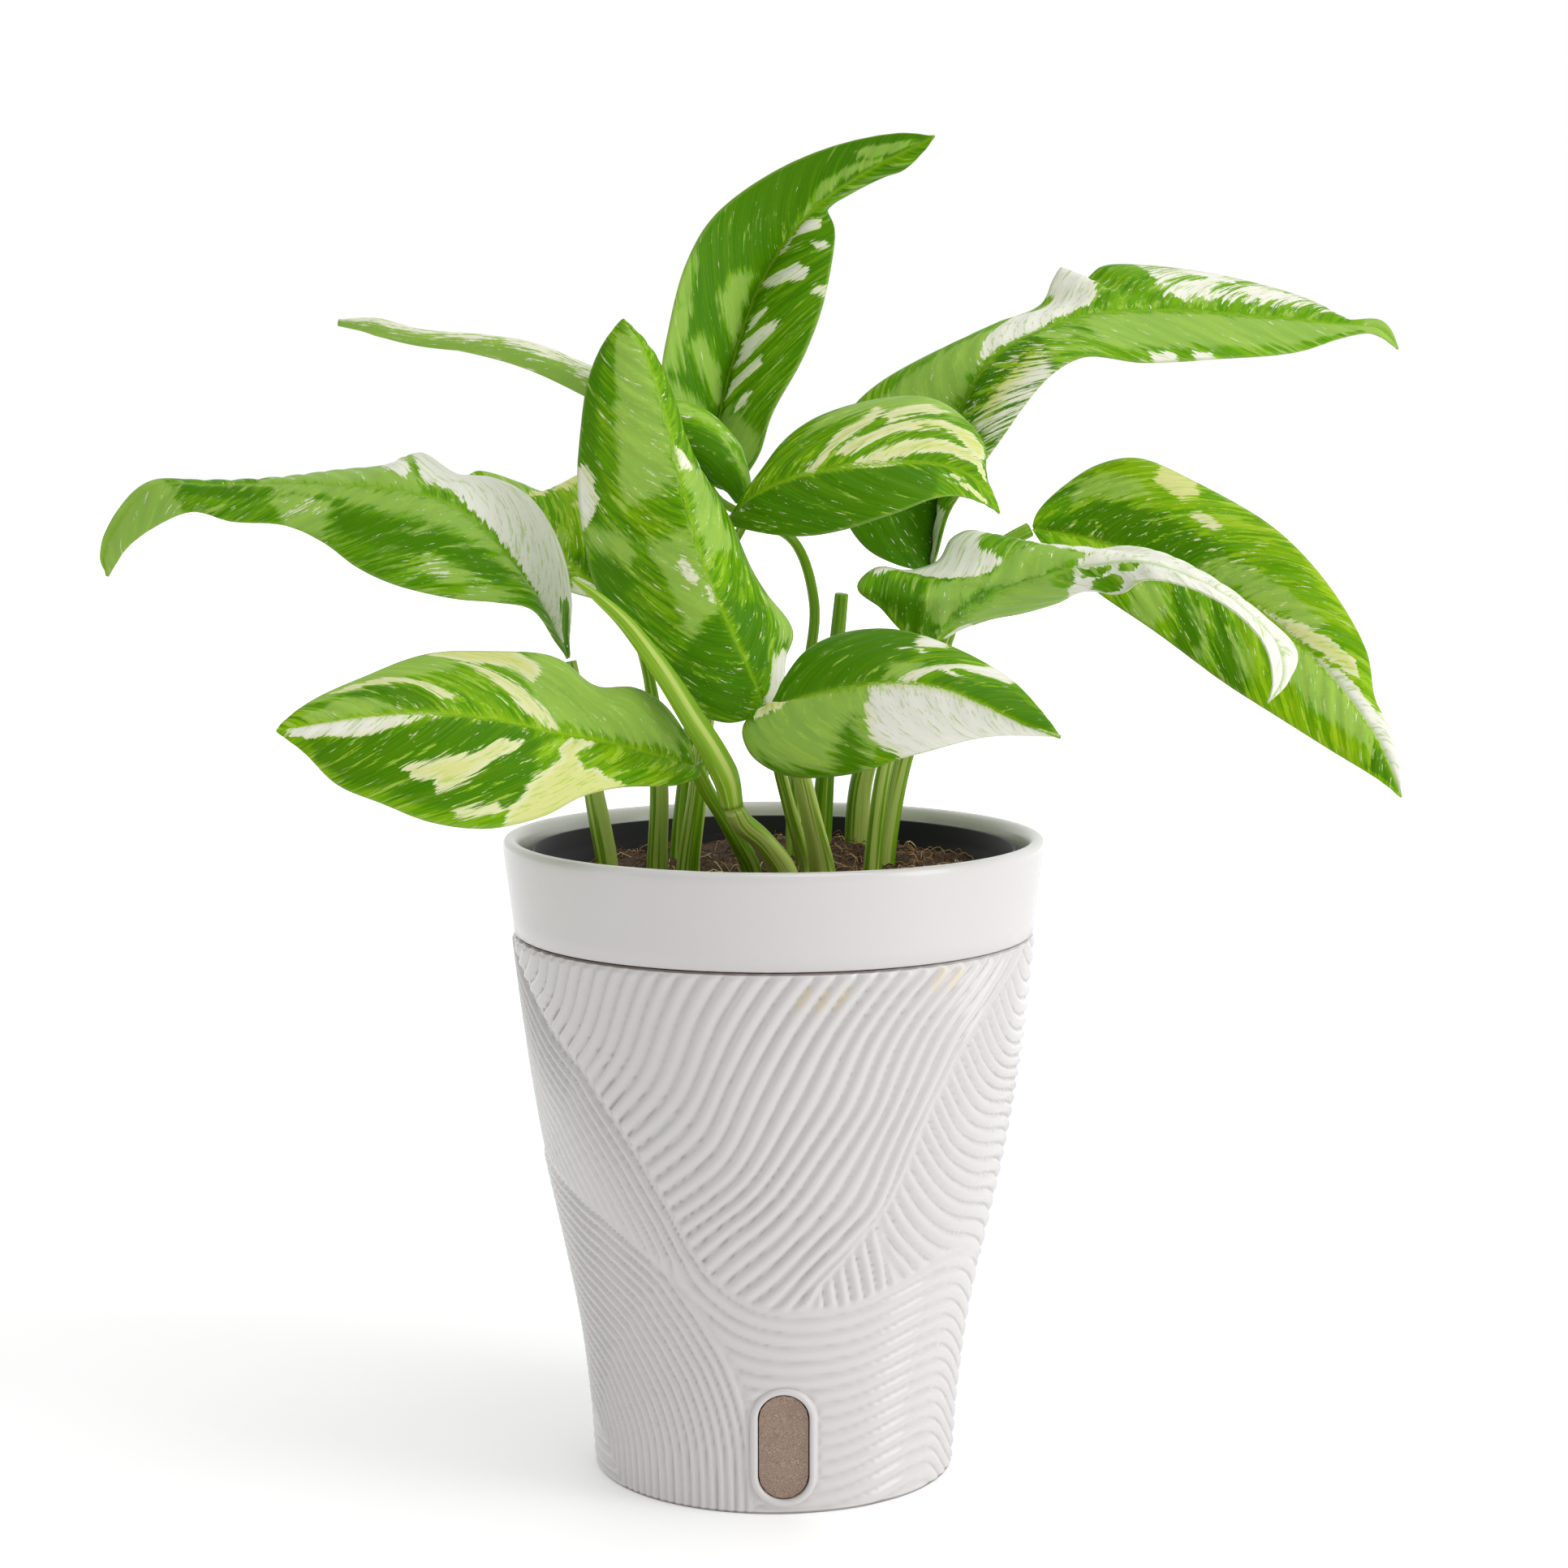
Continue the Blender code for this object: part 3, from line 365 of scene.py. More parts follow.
ROLLED_HOOD_REACH = 0.12

# The youngest leaf, a closed spear
SPEAR_LINE = [(902, 992, -47), (895, 960, -50), (878, 925, -54), (853, 885, -58), (828, 845, -62),
    (800, 805, -65), (768, 765, -67), (735, 735, -68), (704, 712, -68)]
SPEAR_RADII = [3.4, 4.2, 3.9, 3.6, 3.3, 2.9, 2.4, 1.7, 0.6]
SPEAR_PAINT = (0.35, 0.5, 1.0, 0.0)
SPEAR_SEED = 21

# Leaf stalks: the places from the root in the soil up to just short of the leaf, then the radius
# at the foot and at the head, and the gap left under the leaf
STALKS = {
    "stalk_top": ([(977, 1066, 24), (981, 936, 20), (996, 824, 15), (1003, 742, 10), (979, 668, 14),
        (923, 637, 24), (888, 618, 24)], 2.6, 1.2, 1.1),
    "stalk_rolled": ([(836, 1061, 33), (850, 900, 28), (868, 757, 18), (898, 679, 5),
        (917, 641, -1)], 2.8, 1.4, 0.5),
    "stalk_striped": ([(848, 1077, 4), (859, 981, 2), (870, 880, 0), (890, 758, 0),
        (901, 681, -5)], 4.0, 1.6, 0.5),
    "stalk_behind": ([(810, 1074, 9), (812, 967, 8), (802, 848, 15)], 4.0, 1.3, 0.7),
    "stalk_left": ([(749, 1082, -5), (732, 977, -6), (716, 879, -6)], 3.9, 2.0, 0.5),
    "stalk_low_left": ([(926, 1084, -9), (897, 1016, -20), (872, 976, -28)], 3.2, 2.2, 0.6),
    "stalk_spear": ([(965, 1089, -17), (940, 1037, -29), (912, 1011, -41)], 4.9, 2.9, 1.8),
    "stalk_front": ([(992, 1077, 4), (973, 997, -14), (953, 918, -31)], 3.0, 1.3, 1.2),
    "stalk_low_front": ([(1013, 1084, -7), (997, 997, -22), (978, 925, -38)], 4.7, 1.5, 0.9),
    "stalk_arched": ([(1075, 1079, 0), (1091, 944, -2), (1119, 867, -5)], 3.4, 1.5, 0.5),
    "stalk_right": ([(1092, 1068, 20), (1112, 939, 20), (1144, 848, 16), (1164, 790, 14),
        (1194, 715, 19), (1236, 671, 25)], 3.2, 2.4, 0.9),
    "stalk_upper_right": ([(1055, 1051, 53), (1063, 956, 50), (1097, 872, 46),
        (1139, 789, 43)], 4.4, 1.8, 0.4),
    "stalk_cut": ([(1011, 1054, 46), (1021, 899, 41), (1037, 732, 34)], 3.6, 2.1, 0.0),
}

# How white and how pale each stalk's stripes are
STALK_STRIPES = {
    "stalk_top": (0.25, 0.5), "stalk_rolled": (0.3, 0.4), "stalk_striped": (0.4, 0.3),
    "stalk_behind": (0.3, 0.4), "stalk_left": (0.45, 0.4), "stalk_low_left": (0.35, 0.6),
    "stalk_spear": (0.5, 0.9), "stalk_front": (0.35, 0.3), "stalk_low_front": (0.55, 0.7),
    "stalk_arched": (0.45, 0.3), "stalk_right": (0.3, 0.3), "stalk_upper_right": (0.55, 0.5),
    "stalk_cut": (0.1, 0.1),
}
STALK_ROWS = 70
STALK_SIDES = 24
STALK_CHANNEL = 0.16
STALK_CHANNEL_WIDTH = 0.22
STALK_SWELL = 0.06
STALK_SWELL_END = 9
STALK_YELLOW = 0.3
STALK_NOISE_STEP = 3.7
STALK_SLANT = 1.3

# Base look of each blade: how mottled, how pale, how dark and how yellow its green is
BLADE_TONES = {
    "leaf_top": (0.30, 0.22, 0.55, 0.35),
    "leaf_front": (0.50, 0.28, 0.50, 0.40),
    "leaf_upper_right": (0.45, 0.35, 0.40, 0.15),
    "leaf_striped": (0.40, 0.20, 0.50, 0.60),
    "leaf_right": (0.60, 0.25, 0.30, 0.60),
    "leaf_arched": (0.30, 0.35, 0.40, 0.15),
    "leaf_low_front": (0.30, 0.20, 0.50, 0.45),
    "leaf_left": (0.35, 0.35, 0.50, 0.05),
    "leaf_low_left": (0.50, 0.30, 0.40, 0.65),
    "leaf_behind": (0.65, 0.35, 0.30, 0.60),
}

# Markings of each blade: outlines of (along, across) pairs, read off the photograph. Most are the
# leaf's own variegation, but a few pale and dark ones are painted sheen and painted shade. Along runs
# from the base 0 to the tip 1, across from the left margin -1 over the rib 0 to the right margin 1.
MARKS = {
    "leaf_top": [
        ("dark", [(0, -1), (1, -1), (1, 0), (0, 0)]),
        ("pale", [(0.46, -0.5), (0.485, -0.35), (0.487, -0.15), (0.43, -0.13), (0.38, -0.12),
            (0.31, -0.06), (0.35, -0.28), (0.41, -0.5)]),
        ("pale", [(0.33, -0.62), (0.3, -0.4), (0.26, -0.22), (0.2, -0.1), (0.19, -0.15), (0.22, -0.35),
            (0.26, -0.55), (0.3, -0.75)]),
        ("pale", [(0.48, -0.98), (0.46, -0.9), (0.38, -0.85), (0.36, -0.95), (0.4, -1)]),
        ("pale", [(0.23, -0.95), (0.2, -0.6), (0.17, -0.35), (0.14, -0.3), (0.15, -0.7),
            (0.18, -0.95)]),
        ("pale", [(0.25, -1), (0.25, -0.8), (0.38, -0.82), (0.38, -1)]),
        ("pale", [(0.62, -0.05), (0.68, -0.15), (0.74, -0.35), (0.8, -0.4), (0.87, -0.25),
            (0.87, -0.1), (0.8, -0.2), (0.74, -0.15), (0.68, -0.05)]),
        ("pale", [(0.84, -0.7), (0.95, -0.6), (0.95, -0.2), (0.86, -0.3)]),
        ("white", [(0.475, 0.05), (0.5, 0.1), (0.52, 0.22), (0.545, 0.42), (0.54, 0.65), (0.515, 0.68),
            (0.5, 0.45), (0.485, 0.3), (0.47, 0.12)]),
        ("white", [(0.55, 0.03), (0.6, 0.03), (0.61, 0.12), (0.56, 0.12)]),
        ("white", [(0.6, 0.05), (0.62, 0.3), (0.64, 0.6), (0.66, 0.5), (0.66, 0.2), (0.64, 0.05)]),
        ("white", [(0.6, 0.5), (0.615, 0.8), (0.605, 0.9), (0.59, 0.7)]),
        ("white", [(0.36, 0.08), (0.39, 0.12), (0.42, 0.22), (0.43, 0.3), (0.41, 0.28), (0.38, 0.2)]),
        ("white", [(0.27, 0.06), (0.3, 0.08), (0.34, 0.12), (0.38, 0.3), (0.41, 0.5), (0.39, 0.55),
            (0.36, 0.45), (0.33, 0.35), (0.31, 0.3), (0.29, 0.2)]),
        ("white", [(0.2, 0.1), (0.25, 0.15), (0.3, 0.35), (0.33, 0.5), (0.31, 0.55), (0.27, 0.4),
            (0.22, 0.22)]),
        ("white", [(0.2, 0.35), (0.24, 0.5), (0.25, 0.6), (0.22, 0.55), (0.19, 0.4)]),
        ("white", [(0.51, 0.85), (0.53, 1), (0.5, 1), (0.49, 0.8)]),
        ("pale", [(0.2, 0.15), (0.19, 0.6), (0.18, 0.95), (0.12, 0.95), (0.1, 0.6), (0.1, 0.1),
            (0.15, 0.05)]),
    ],
    "leaf_front": [
        ("dark", [(0.4, -1), (0.4, -0.6), (0.5, -0.75), (0.52, -1)]),
        ("dark", [(0.55, -1), (0.55, -0.75), (0.95, -0.75), (0.95, -1)]),
        ("dark", [(0.1, 0.05), (0.27, 0.05), (0.27, 0.6), (0.1, 0.5)]),
        ("dark", [(0.05, -0.9), (0.05, 0), (0.25, 0), (0.25, -0.9)]),
        ("white", [(0.69, -1), (0.68, -0.9), (0.66, -0.85), (0.64, -0.8), (0.62, -0.83), (0.6, -0.78),
            (0.585, -0.82), (0.57, -0.9), (0.555, -1)]),
        ("pale", [(0.57, -0.98), (0.56, -0.85), (0.53, -0.7), (0.49, -0.55), (0.46, -0.5),
            (0.45, -0.6), (0.49, -0.75), (0.53, -0.95)]),
        ("yellow", [(0.7, -0.85), (0.62, -0.5), (0.52, -0.3), (0.42, -0.12), (0.4, -0.25),
            (0.48, -0.45), (0.58, -0.7), (0.68, -0.9)]),
        ("white", [(0.4, -0.16), (0.38, -0.24), (0.32, -0.14), (0.34, -0.08)]),
        ("white", [(0.31, -0.02), (0.3, -0.08), (0.26, -0.07), (0.27, -0.02)]),
        # This pale mark beside the rib, low on the left half, is a painted highlight
        ("pale", [(0.25, -0.4), (0.25, -0.02), (0.45, -0.02), (0.45, -0.4)]),
        ("pale", [(0.55, -0.55), (0.55, -0.02), (0.95, -0.02), (0.95, -0.55)]),
        ("white", [(0.58, 0), (0.585, 0.3), (0.62, 0.28), (0.645, 0)]),
        ("pale", [(0.37, 0.05), (0.4, 0.6), (0.6, 0.6), (0.6, 0.05)]),
        ("pale", [(0.18, 0.7), (0.2, 1), (0.32, 1), (0.3, 0.75)]),
        ("white", [(0, 0.1), (0.04, 0.35), (0.09, 0.5), (0.13, 0.6), (0.17, 0.85), (0.16, 1), (0.1, 1),
            (0.04, 1), (0, 1)]),
    ],
    "leaf_upper_right": [
        ("dark", [(0.25, 0), (0.25, 1), (0.42, 1), (0.42, 0)]),
        ("dark", [(0, -1), (0, 0), (0.15, 0), (0.15, -1)]),
        ("pale", [(0.22, -0.9), (0.22, -0.1), (0.42, -0.05), (0.42, -0.6)]),
        ("white", [(0.61, -0.95), (0.55, -0.35), (0.48, -0.15), (0.42, -0.02), (0.33, -0.1),
            (0.38, -0.35), (0.43, -0.6), (0.48, -0.8), (0.53, -0.85), (0.54, -1)]),
        ("patchy", [(0.64, -1), (0.64, -0.2), (0.72, -0.12), (0.82, -0.2), (0.95, -0.5), (0.95, -1),
            (0.8, -1)]),
        ("white", [(0.655, -0.2), (0.66, -0.35), (0.69, -0.55), (0.73, -0.65), (0.75, -0.6),
            (0.72, -0.45), (0.7, -0.3), (0.67, -0.15)]),
        ("white", [(0.71, -0.85), (0.74, -1), (0.77, -1), (0.78, -0.7), (0.75, -0.7)]),
        ("white", [(0.77, -0.5), (0.79, -0.75), (0.83, -0.85), (0.86, -0.75), (0.83, -0.5),
            (0.79, -0.35)]),
        ("green", [(0.6, -1), (0.6, -0.5), (0.66, -0.5), (0.67, -1)]),
        ("patchy", [(0.24, 0.35), (0.26, 1), (0.42, 1), (0.42, 0.4)]),
        ("fleck", [(0.2, 0.1), (0.2, 1), (0.45, 1), (0.45, 0.1)]),
        ("yellow", [(0.27, 0.3), (0.28, 0.7), (0.42, 0.7), (0.4, 0.3)]),
        ("pale", [(0.42, 0.2), (0.43, 0.5), (0.48, 0.5), (0.46, 0.2)]),
        ("pale", [(0.48, 0.05), (0.5, 0.8), (0.95, 0.8), (0.95, 0.05)]),
        ("white", [(0.57, 0.85), (0.58, 1), (0.62, 1), (0.61, 0.85)]),
        ("white", [(0.64, 0.88), (0.645, 1), (0.68, 1), (0.67, 0.88)]),
        ("white", [(0, 0.2), (0.02, 0.9), (0.13, 0.9), (0.11, 0.25)]),
        ("pale", [(0.93, -1), (0.93, 1), (1, 1), (1, -1)]),
    ],
    "leaf_striped": [
        ("dark", [(0, 0), (0, 1), (0.75, 1), (0.75, 0.1), (0.5, 0.05)]),
        ("pale", [(0.3, -0.6), (0.36, -0.95), (0.75, -1), (0.7, -0.8), (0.5, -0.72)]),
        ("cream", [(0.3, -0.02), (0.35, -0.12), (0.38, -0.3), (0.42, -0.5), (0.47, -0.6), (0.5, -0.78),
            (0.53, -0.72), (0.5, -0.5), (0.46, -0.38), (0.42, -0.25), (0.38, -0.1), (0.34, 0)]),
        ("cream", [(0.52, -0.6), (0.56, -0.72), (0.62, -0.85), (0.68, -0.88), (0.66, -0.75),
            (0.6, -0.65), (0.55, -0.52)]),
        ("cream", [(0.4, -0.18), (0.46, -0.32), (0.52, -0.4), (0.58, -0.52), (0.64, -0.62),
            (0.7, -0.7), (0.78, -0.85), (0.84, -0.9), (0.84, -0.5), (0.78, -0.5), (0.72, -0.55),
            (0.66, -0.45), (0.6, -0.4), (0.52, -0.25), (0.46, -0.12)]),
        ("cream", [(0.46, -0.02), (0.52, -0.12), (0.6, -0.25), (0.68, -0.35), (0.76, -0.42),
            (0.86, -0.5), (0.9, -0.6), (0.9, -0.3), (0.84, -0.3), (0.76, -0.22), (0.68, -0.14),
            (0.6, -0.06), (0.54, -0.01)]),
        ("green", [(0.56, -0.32), (0.6, -0.38), (0.68, -0.42), (0.66, -0.34), (0.6, -0.28)]),
        ("green", [(0.62, -0.5), (0.67, -0.56), (0.73, -0.6), (0.7, -0.52), (0.66, -0.47)]),
        ("green", [(0.58, -0.01), (0.68, -0.1), (0.78, -0.18), (0.86, -0.26), (0.87, -0.02),
            (0.7, 0)]),
        ("cream", [(0.44, 0.01), (0.62, 0.01), (0.6, 0.08), (0.5, 0.06)]),
        ("cream", [(0.76, 0.38), (0.78, 0.32), (0.83, 0.35), (0.81, 0.48)]),
        ("cream", [(0.8, 0.6), (0.84, 0.5), (0.93, 0.75), (0.93, 0.95), (0.88, 0.85)]),
        ("yellow", [(0.68, 0.5), (0.75, 0.5), (0.95, 0.9), (0.9, 1), (0.7, 0.9)]),
    ],
    "leaf_right": [
        ("yellow", [(0.1, -1), (0.12, -0.5), (0.28, -0.5), (0.45, -0.62), (0.7, -0.75), (0.8, -1)]),
        ("dark", [(0.06, -0.92), (0.1, -0.82), (0.15, -0.8), (0.15, -0.92), (0.1, -0.97)]),
        ("dark", [(0.03, -0.02), (0.05, -0.35), (0.15, -0.5), (0.3, -0.5), (0.46, -0.4), (0.42, -0.1),
            (0.3, -0.02)]),
        ("pale", [(0.1, -0.6), (0.12, -0.85), (0.2, -0.8), (0.26, -0.62), (0.2, -0.55)]),
        ("cream", [(0.26, -0.8), (0.27, -1), (0.33, -1), (0.34, -0.85), (0.31, -0.72)]),
        ("cream", [(0.32, -0.58), (0.35, -0.7), (0.4, -0.66), (0.38, -0.56)]),
        ("pale", [(0.35, -0.05), (0.4, -0.3), (0.55, -0.45), (0.66, -0.5), (0.62, -0.25),
            (0.5, -0.1)]),
        ("cream", [(0.5, -0.03), (0.56, -0.12), (0.63, -0.3), (0.7, -0.48), (0.74, -0.6), (0.77, -0.5),
            (0.74, -0.3), (0.68, -0.15), (0.6, -0.03)]),
        ("white", [(0.64, 0), (0.7, -0.12), (0.75, -0.28), (0.8, -0.42), (0.84, -0.7), (0.86, -1),
            (1, -1), (1, 0), (0.85, 0.01), (0.75, 0.01)]),
        ("pale", [(0.6, 0.02), (0.66, 0.5), (0.75, 0.6), (0.88, 0.4), (0.85, 0.02)]),
        # The pale and dark bands below, across the right half, are painted sheen and painted shade
        # where the blade ripples between its veins
        ("pale", [(0.27, 0.5), (0.31, 0.3), (0.37, 0.7), (0.36, 1), (0.31, 1)]),
        ("pale", [(0.38, 0.35), (0.42, 0.4), (0.5, 0.9), (0.46, 0.95), (0.42, 0.7)]),
        ("pale", [(0.5, 0.4), (0.54, 0.45), (0.6, 0.8), (0.57, 0.85), (0.53, 0.6)]),
        ("dark", [(0.32, 0.15), (0.38, 0.3), (0.47, 0.7), (0.5, 1), (0.44, 1), (0.38, 0.65)]),
        ("dark", [(0.42, 0.2), (0.5, 0.4), (0.6, 0.85), (0.64, 1), (0.56, 1), (0.5, 0.8)]),
        ("dark", [(0.88, 0.05), (0.9, 0.9), (1, 0.6), (1, 0.02)]),
        ("yellow", [(0.6, 0.6), (0.6, 1), (0.9, 1), (0.88, 0.5)]),
    ],
    "leaf_arched": [
        ("dark", [(0.02, -0.3), (0.05, -0.85), (0.2, -0.9), (0.24, -0.4), (0.2, -0.1)]),
        ("pale", [(0.08, -0.25), (0.1, -0.5), (0.28, -0.62), (0.34, -0.35), (0.28, -0.2)]),
        ("pale", [(0.26, -0.1), (0.28, -0.5), (0.44, -0.5), (0.44, -0.1)]),
        ("white", [(0.2, -0.94), (0.22, -1), (0.28, -1), (0.27, -0.88), (0.24, -0.9)]),
        ("white", [(0.25, -0.8), (0.27, -1), (0.4, -1), (0.42, -0.9), (0.36, -0.72), (0.34, -0.5),
            (0.3, -0.55)]),
        ("green", [(0.35, -0.62), (0.36, -0.8), (0.4, -0.88), (0.46, -0.7), (0.46, -0.45),
            (0.4, -0.5)]),
        ("pale", [(0.05, 0), (0.05, 1), (0.36, 1), (0.34, 0)]),
        ("white", [(0.02, 0.3), (0.04, 1), (0.1, 1), (0.1, 0.5)]),
        ("white", [(0.34, 0.2), (0.33, 1), (1, 1), (1, -1), (0.45, -1), (0.42, -0.6), (0.45, -0.2),
            (0.36, 0)]),
        ("green", [(0.3, 0.02), (0.31, 0.5), (0.36, 0.45), (0.36, 0.05)]),
        ("green", [(0.37, 0.05), (0.38, 0.3), (0.43, 0.35), (0.45, 0.08)]),
        ("green", [(0.41, 0.4), (0.4, 0.85), (0.44, 0.95), (0.49, 0.85), (0.48, 0.4), (0.45, 0.3)]),
        ("green", [(0.46, 0.05), (0.46, 0.25), (0.5, 0.3), (0.51, 0.06)]),
        ("pale", [(0.52, 0.02), (0.53, 0.35), (0.75, 0.4), (0.9, 0.2), (0.75, 0.02)]),
    ],
    "leaf_low_front": [
        ("dark", [(0, -1), (0, 0), (0.4, 0), (0.5, -0.4), (0.5, -1)]),
        ("dark", [(0.56, -0.02), (0.6, -0.3), (0.72, -0.4), (0.8, -0.7), (0.95, -0.9), (1, 0)]),
        ("pale", [(0.42, -0.05), (0.44, -0.3), (0.52, -0.35), (0.53, -0.15)]),
        ("white", [(0.48, -0.75), (0.5, -1), (0.56, -1), (0.57, -0.8), (0.52, -0.72)]),
        ("white", [(0.44, -0.6), (0.5, -0.66), (0.54, -0.68), (0.52, -0.58)]),
        ("white", [(0.46, -0.02), (0.5, -0.14), (0.55, -0.32), (0.6, -0.46), (0.64, -0.62),
            (0.68, -0.82), (0.71, -1), (0.79, -1), (0.78, -0.8), (0.7, -0.58), (0.62, -0.42),
            (0.57, -0.25), (0.52, -0.05)]),
        ("green", [(0.5, -0.5), (0.54, -0.75), (0.66, -0.82), (0.64, -0.65), (0.6, -0.5)]),
        ("white", [(0.58, -0.28), (0.6, -0.36), (0.65, -0.34), (0.63, -0.27)]),
        ("cream", [(0.02, 0.2), (0.05, 0.7), (0.1, 0.7), (0.12, 0.3), (0.1, 0.1)]),
        ("pale", [(0.1, 0), (0.1, 1), (0.45, 1), (0.5, 0.6), (0.4, 0)]),
        ("yellow", [(0.1, 0), (0.1, 1), (0.45, 1), (0.5, 0.6), (0.4, 0)]),
        ("dark", [(0.33, 0.3), (0.38, 0.3), (0.5, 0.85), (0.48, 1), (0.38, 1), (0.36, 0.6)]),
        ("dark", [(0.18, 0.88), (0.2, 1), (0.45, 1), (0.45, 0.86)]),
        ("white", [(0.36, 0), (0.42, 0.35), (0.46, 0.6), (0.55, 0.85), (0.6, 1), (1, 1), (1, 0.02),
            (0.6, 0)]),
        ("pale", [(0.64, 0.02), (0.66, 0.4), (0.76, 0.75), (0.86, 0.8), (0.85, 0.3), (0.75, 0.05)]),
    ],
    "leaf_left": [
        ("white", [(0.03, 0.02), (0.03, 1), (0.5, 1), (0.44, 0.9), (0.42, 0.7), (0.39, 0.35),
            (0.35, 0.1), (0.2, 0.05)]),
        ("green", [(0.02, 0.2), (0.1, 0.45), (0.1, 0.75), (0.05, 0.9), (0.02, 0.7)]),
        ("green", [(0.3, 0), (0.31, 0.16), (0.36, 0.25), (0.38, 0)]),
        ("pale", [(0.36, 0), (0.4, 0.35), (0.43, 0.85), (0.47, 1), (0.62, 1), (0.64, 0)]),
        ("white", [(0.4, 0.2), (0.42, 0.55), (0.46, 0.85), (0.47, 0.6), (0.44, 0.3)]),
        ("pale", [(0.79, -1), (0.8, 1), (1, 1), (1, -1)]),
        ("pale", [(0.1, -0.02), (0.15, -0.28), (0.4, -0.3), (0.6, -0.25), (0.66, -0.02)]),
        ("dark", [(0.15, -0.3), (0.2, -0.7), (0.5, -0.75), (0.52, -0.35), (0.35, -0.32)]),
        ("dark", [(0.64, -0.02), (0.64, -0.5), (0.79, -0.5), (0.79, -0.02)]),
        ("pale", [(0.24, -0.7), (0.26, -0.86), (0.34, -0.8), (0.33, -0.64), (0.28, -0.62)]),
        ("fleck", [(0.22, -0.65), (0.24, -0.9), (0.36, -0.85), (0.36, -0.6), (0.28, -0.58)]),
        ("pale", [(0.5, -0.35), (0.52, -0.9), (0.6, -1), (0.62, -0.5), (0.58, -0.3)]),
        ("fleck", [(0.5, -0.3), (0.52, -0.7), (0.6, -0.8), (0.62, -0.4)]),
        ("pale", [(0.18, -0.75), (0.2, -1), (0.28, -1), (0.26, -0.8)]),
    ],
    "leaf_low_left": [
        # This first pale mark, over the right half near the base, is a painted sheen
        ("pale", [(0.06, 0.25), (0.1, 1), (0.4, 1), (0.5, 0.75), (0.42, 0.1), (0.2, 0.08)]),
        ("pale", [(0.6, 0.6), (0.6, 1), (0.95, 1), (0.9, 0.7), (0.72, 0.55)]),
        ("pale", [(0.7, 0.02), (0.76, 0.25), (0.84, 0.5), (0.93, 0.4), (0.92, 0.02)]),
        ("cream", [(0.43, 0.62), (0.43, 0.8), (0.46, 0.9), (0.5, 1), (0.56, 1), (0.62, 1),
            (0.65, 0.93), (0.6, 0.8), (0.57, 0.72), (0.53, 0.72), (0.5, 0.7), (0.47, 0.62),
            (0.44, 0.52)]),
        ("cream", [(0.6, 0.78), (0.55, 0.52), (0.5, 0.35), (0.45, 0.14), (0.4, 0.03), (0.36, 0.02),
            (0.4, 0.16), (0.46, 0.4), (0.51, 0.58)]),
        ("dark", [(0.62, 0), (0.64, 0.12), (0.68, 0.3), (0.73, 0.5), (0.8, 0.62), (0.84, 0.55),
            (0.8, 0.35), (0.74, 0.15), (0.7, 0.03)]),
        ("cream", [(0.6, 0.2), (0.66, 0.42), (0.7, 0.57), (0.76, 0.73), (0.82, 0.83), (0.87, 0.84),
            (0.84, 0.7), (0.78, 0.62), (0.72, 0.5), (0.67, 0.35), (0.63, 0.15)]),
        ("dark", [(0.42, -0.02), (0.45, -0.9), (0.9, -0.9), (0.92, -0.4), (0.7, -0.12), (0.6, -0.02)]),
        ("white", [(0.64, -0.03), (0.7, -0.03), (0.8, -0.02), (0.9, -0.03), (0.97, -0.05),
            (0.97, -0.7), (0.93, -0.5), (0.88, -0.33), (0.82, -0.3), (0.76, -0.22), (0.7, -0.12)]),
        ("cream", [(0.46, -0.16), (0.52, -0.2), (0.57, -0.36), (0.62, -0.4), (0.67, -0.5),
            (0.71, -0.57), (0.68, -0.67), (0.64, -0.62), (0.64, -0.75), (0.61, -0.68), (0.58, -0.6),
            (0.53, -0.42), (0.48, -0.3)]),
        ("cream", [(0.29, -0.08), (0.34, -0.08), (0.38, -0.25), (0.38, -0.4), (0.42, -0.52),
            (0.45, -0.6), (0.47, -0.75), (0.5, -0.85), (0.51, -1), (0.42, -1), (0.3, -1),
            (0.24, -0.95), (0.28, -0.75), (0.3, -0.6), (0.33, -0.55), (0.33, -0.3), (0.31, -0.2)]),
        ("green", [(0.27, -0.3), (0.28, -0.6), (0.33, -0.6), (0.34, -0.35), (0.31, -0.2)]),
        ("yellow", [(0.05, -0.1), (0.05, -1), (0.3, -1), (0.3, -0.1)]),
        ("cream", [(0.5, -0.86), (0.52, -0.78), (0.6, -0.84), (0.6, -0.92)]),
    ],
    "leaf_behind": [
        ("yellow", [(0.2, 0.05), (0.3, 1), (0.8, 1), (0.8, 0.2), (0.5, 0.05)]),
        ("cream", [(0.42, 0.48), (0.42, 0.72), (0.5, 0.7), (0.52, 0.5)]),
        ("cream", [(0.58, 0.62), (0.56, 0.95), (0.62, 1), (0.68, 0.9), (0.64, 0.66)]),
        ("cream", [(0.66, 0.5), (0.7, 0.9), (0.76, 0.9), (0.74, 0.5)]),
        ("dark", [(0.1, 0.02), (0.12, 0.6), (0.34, 0.5), (0.36, 0.05)]),
        ("white", [(0.2, -0.3), (0.2, -1), (0.3, -1), (0.3, -0.3)]),
        ("pale", [(0.75, 0.3), (0.78, 1), (0.95, 1), (0.95, 0.3)]),
    ],
}

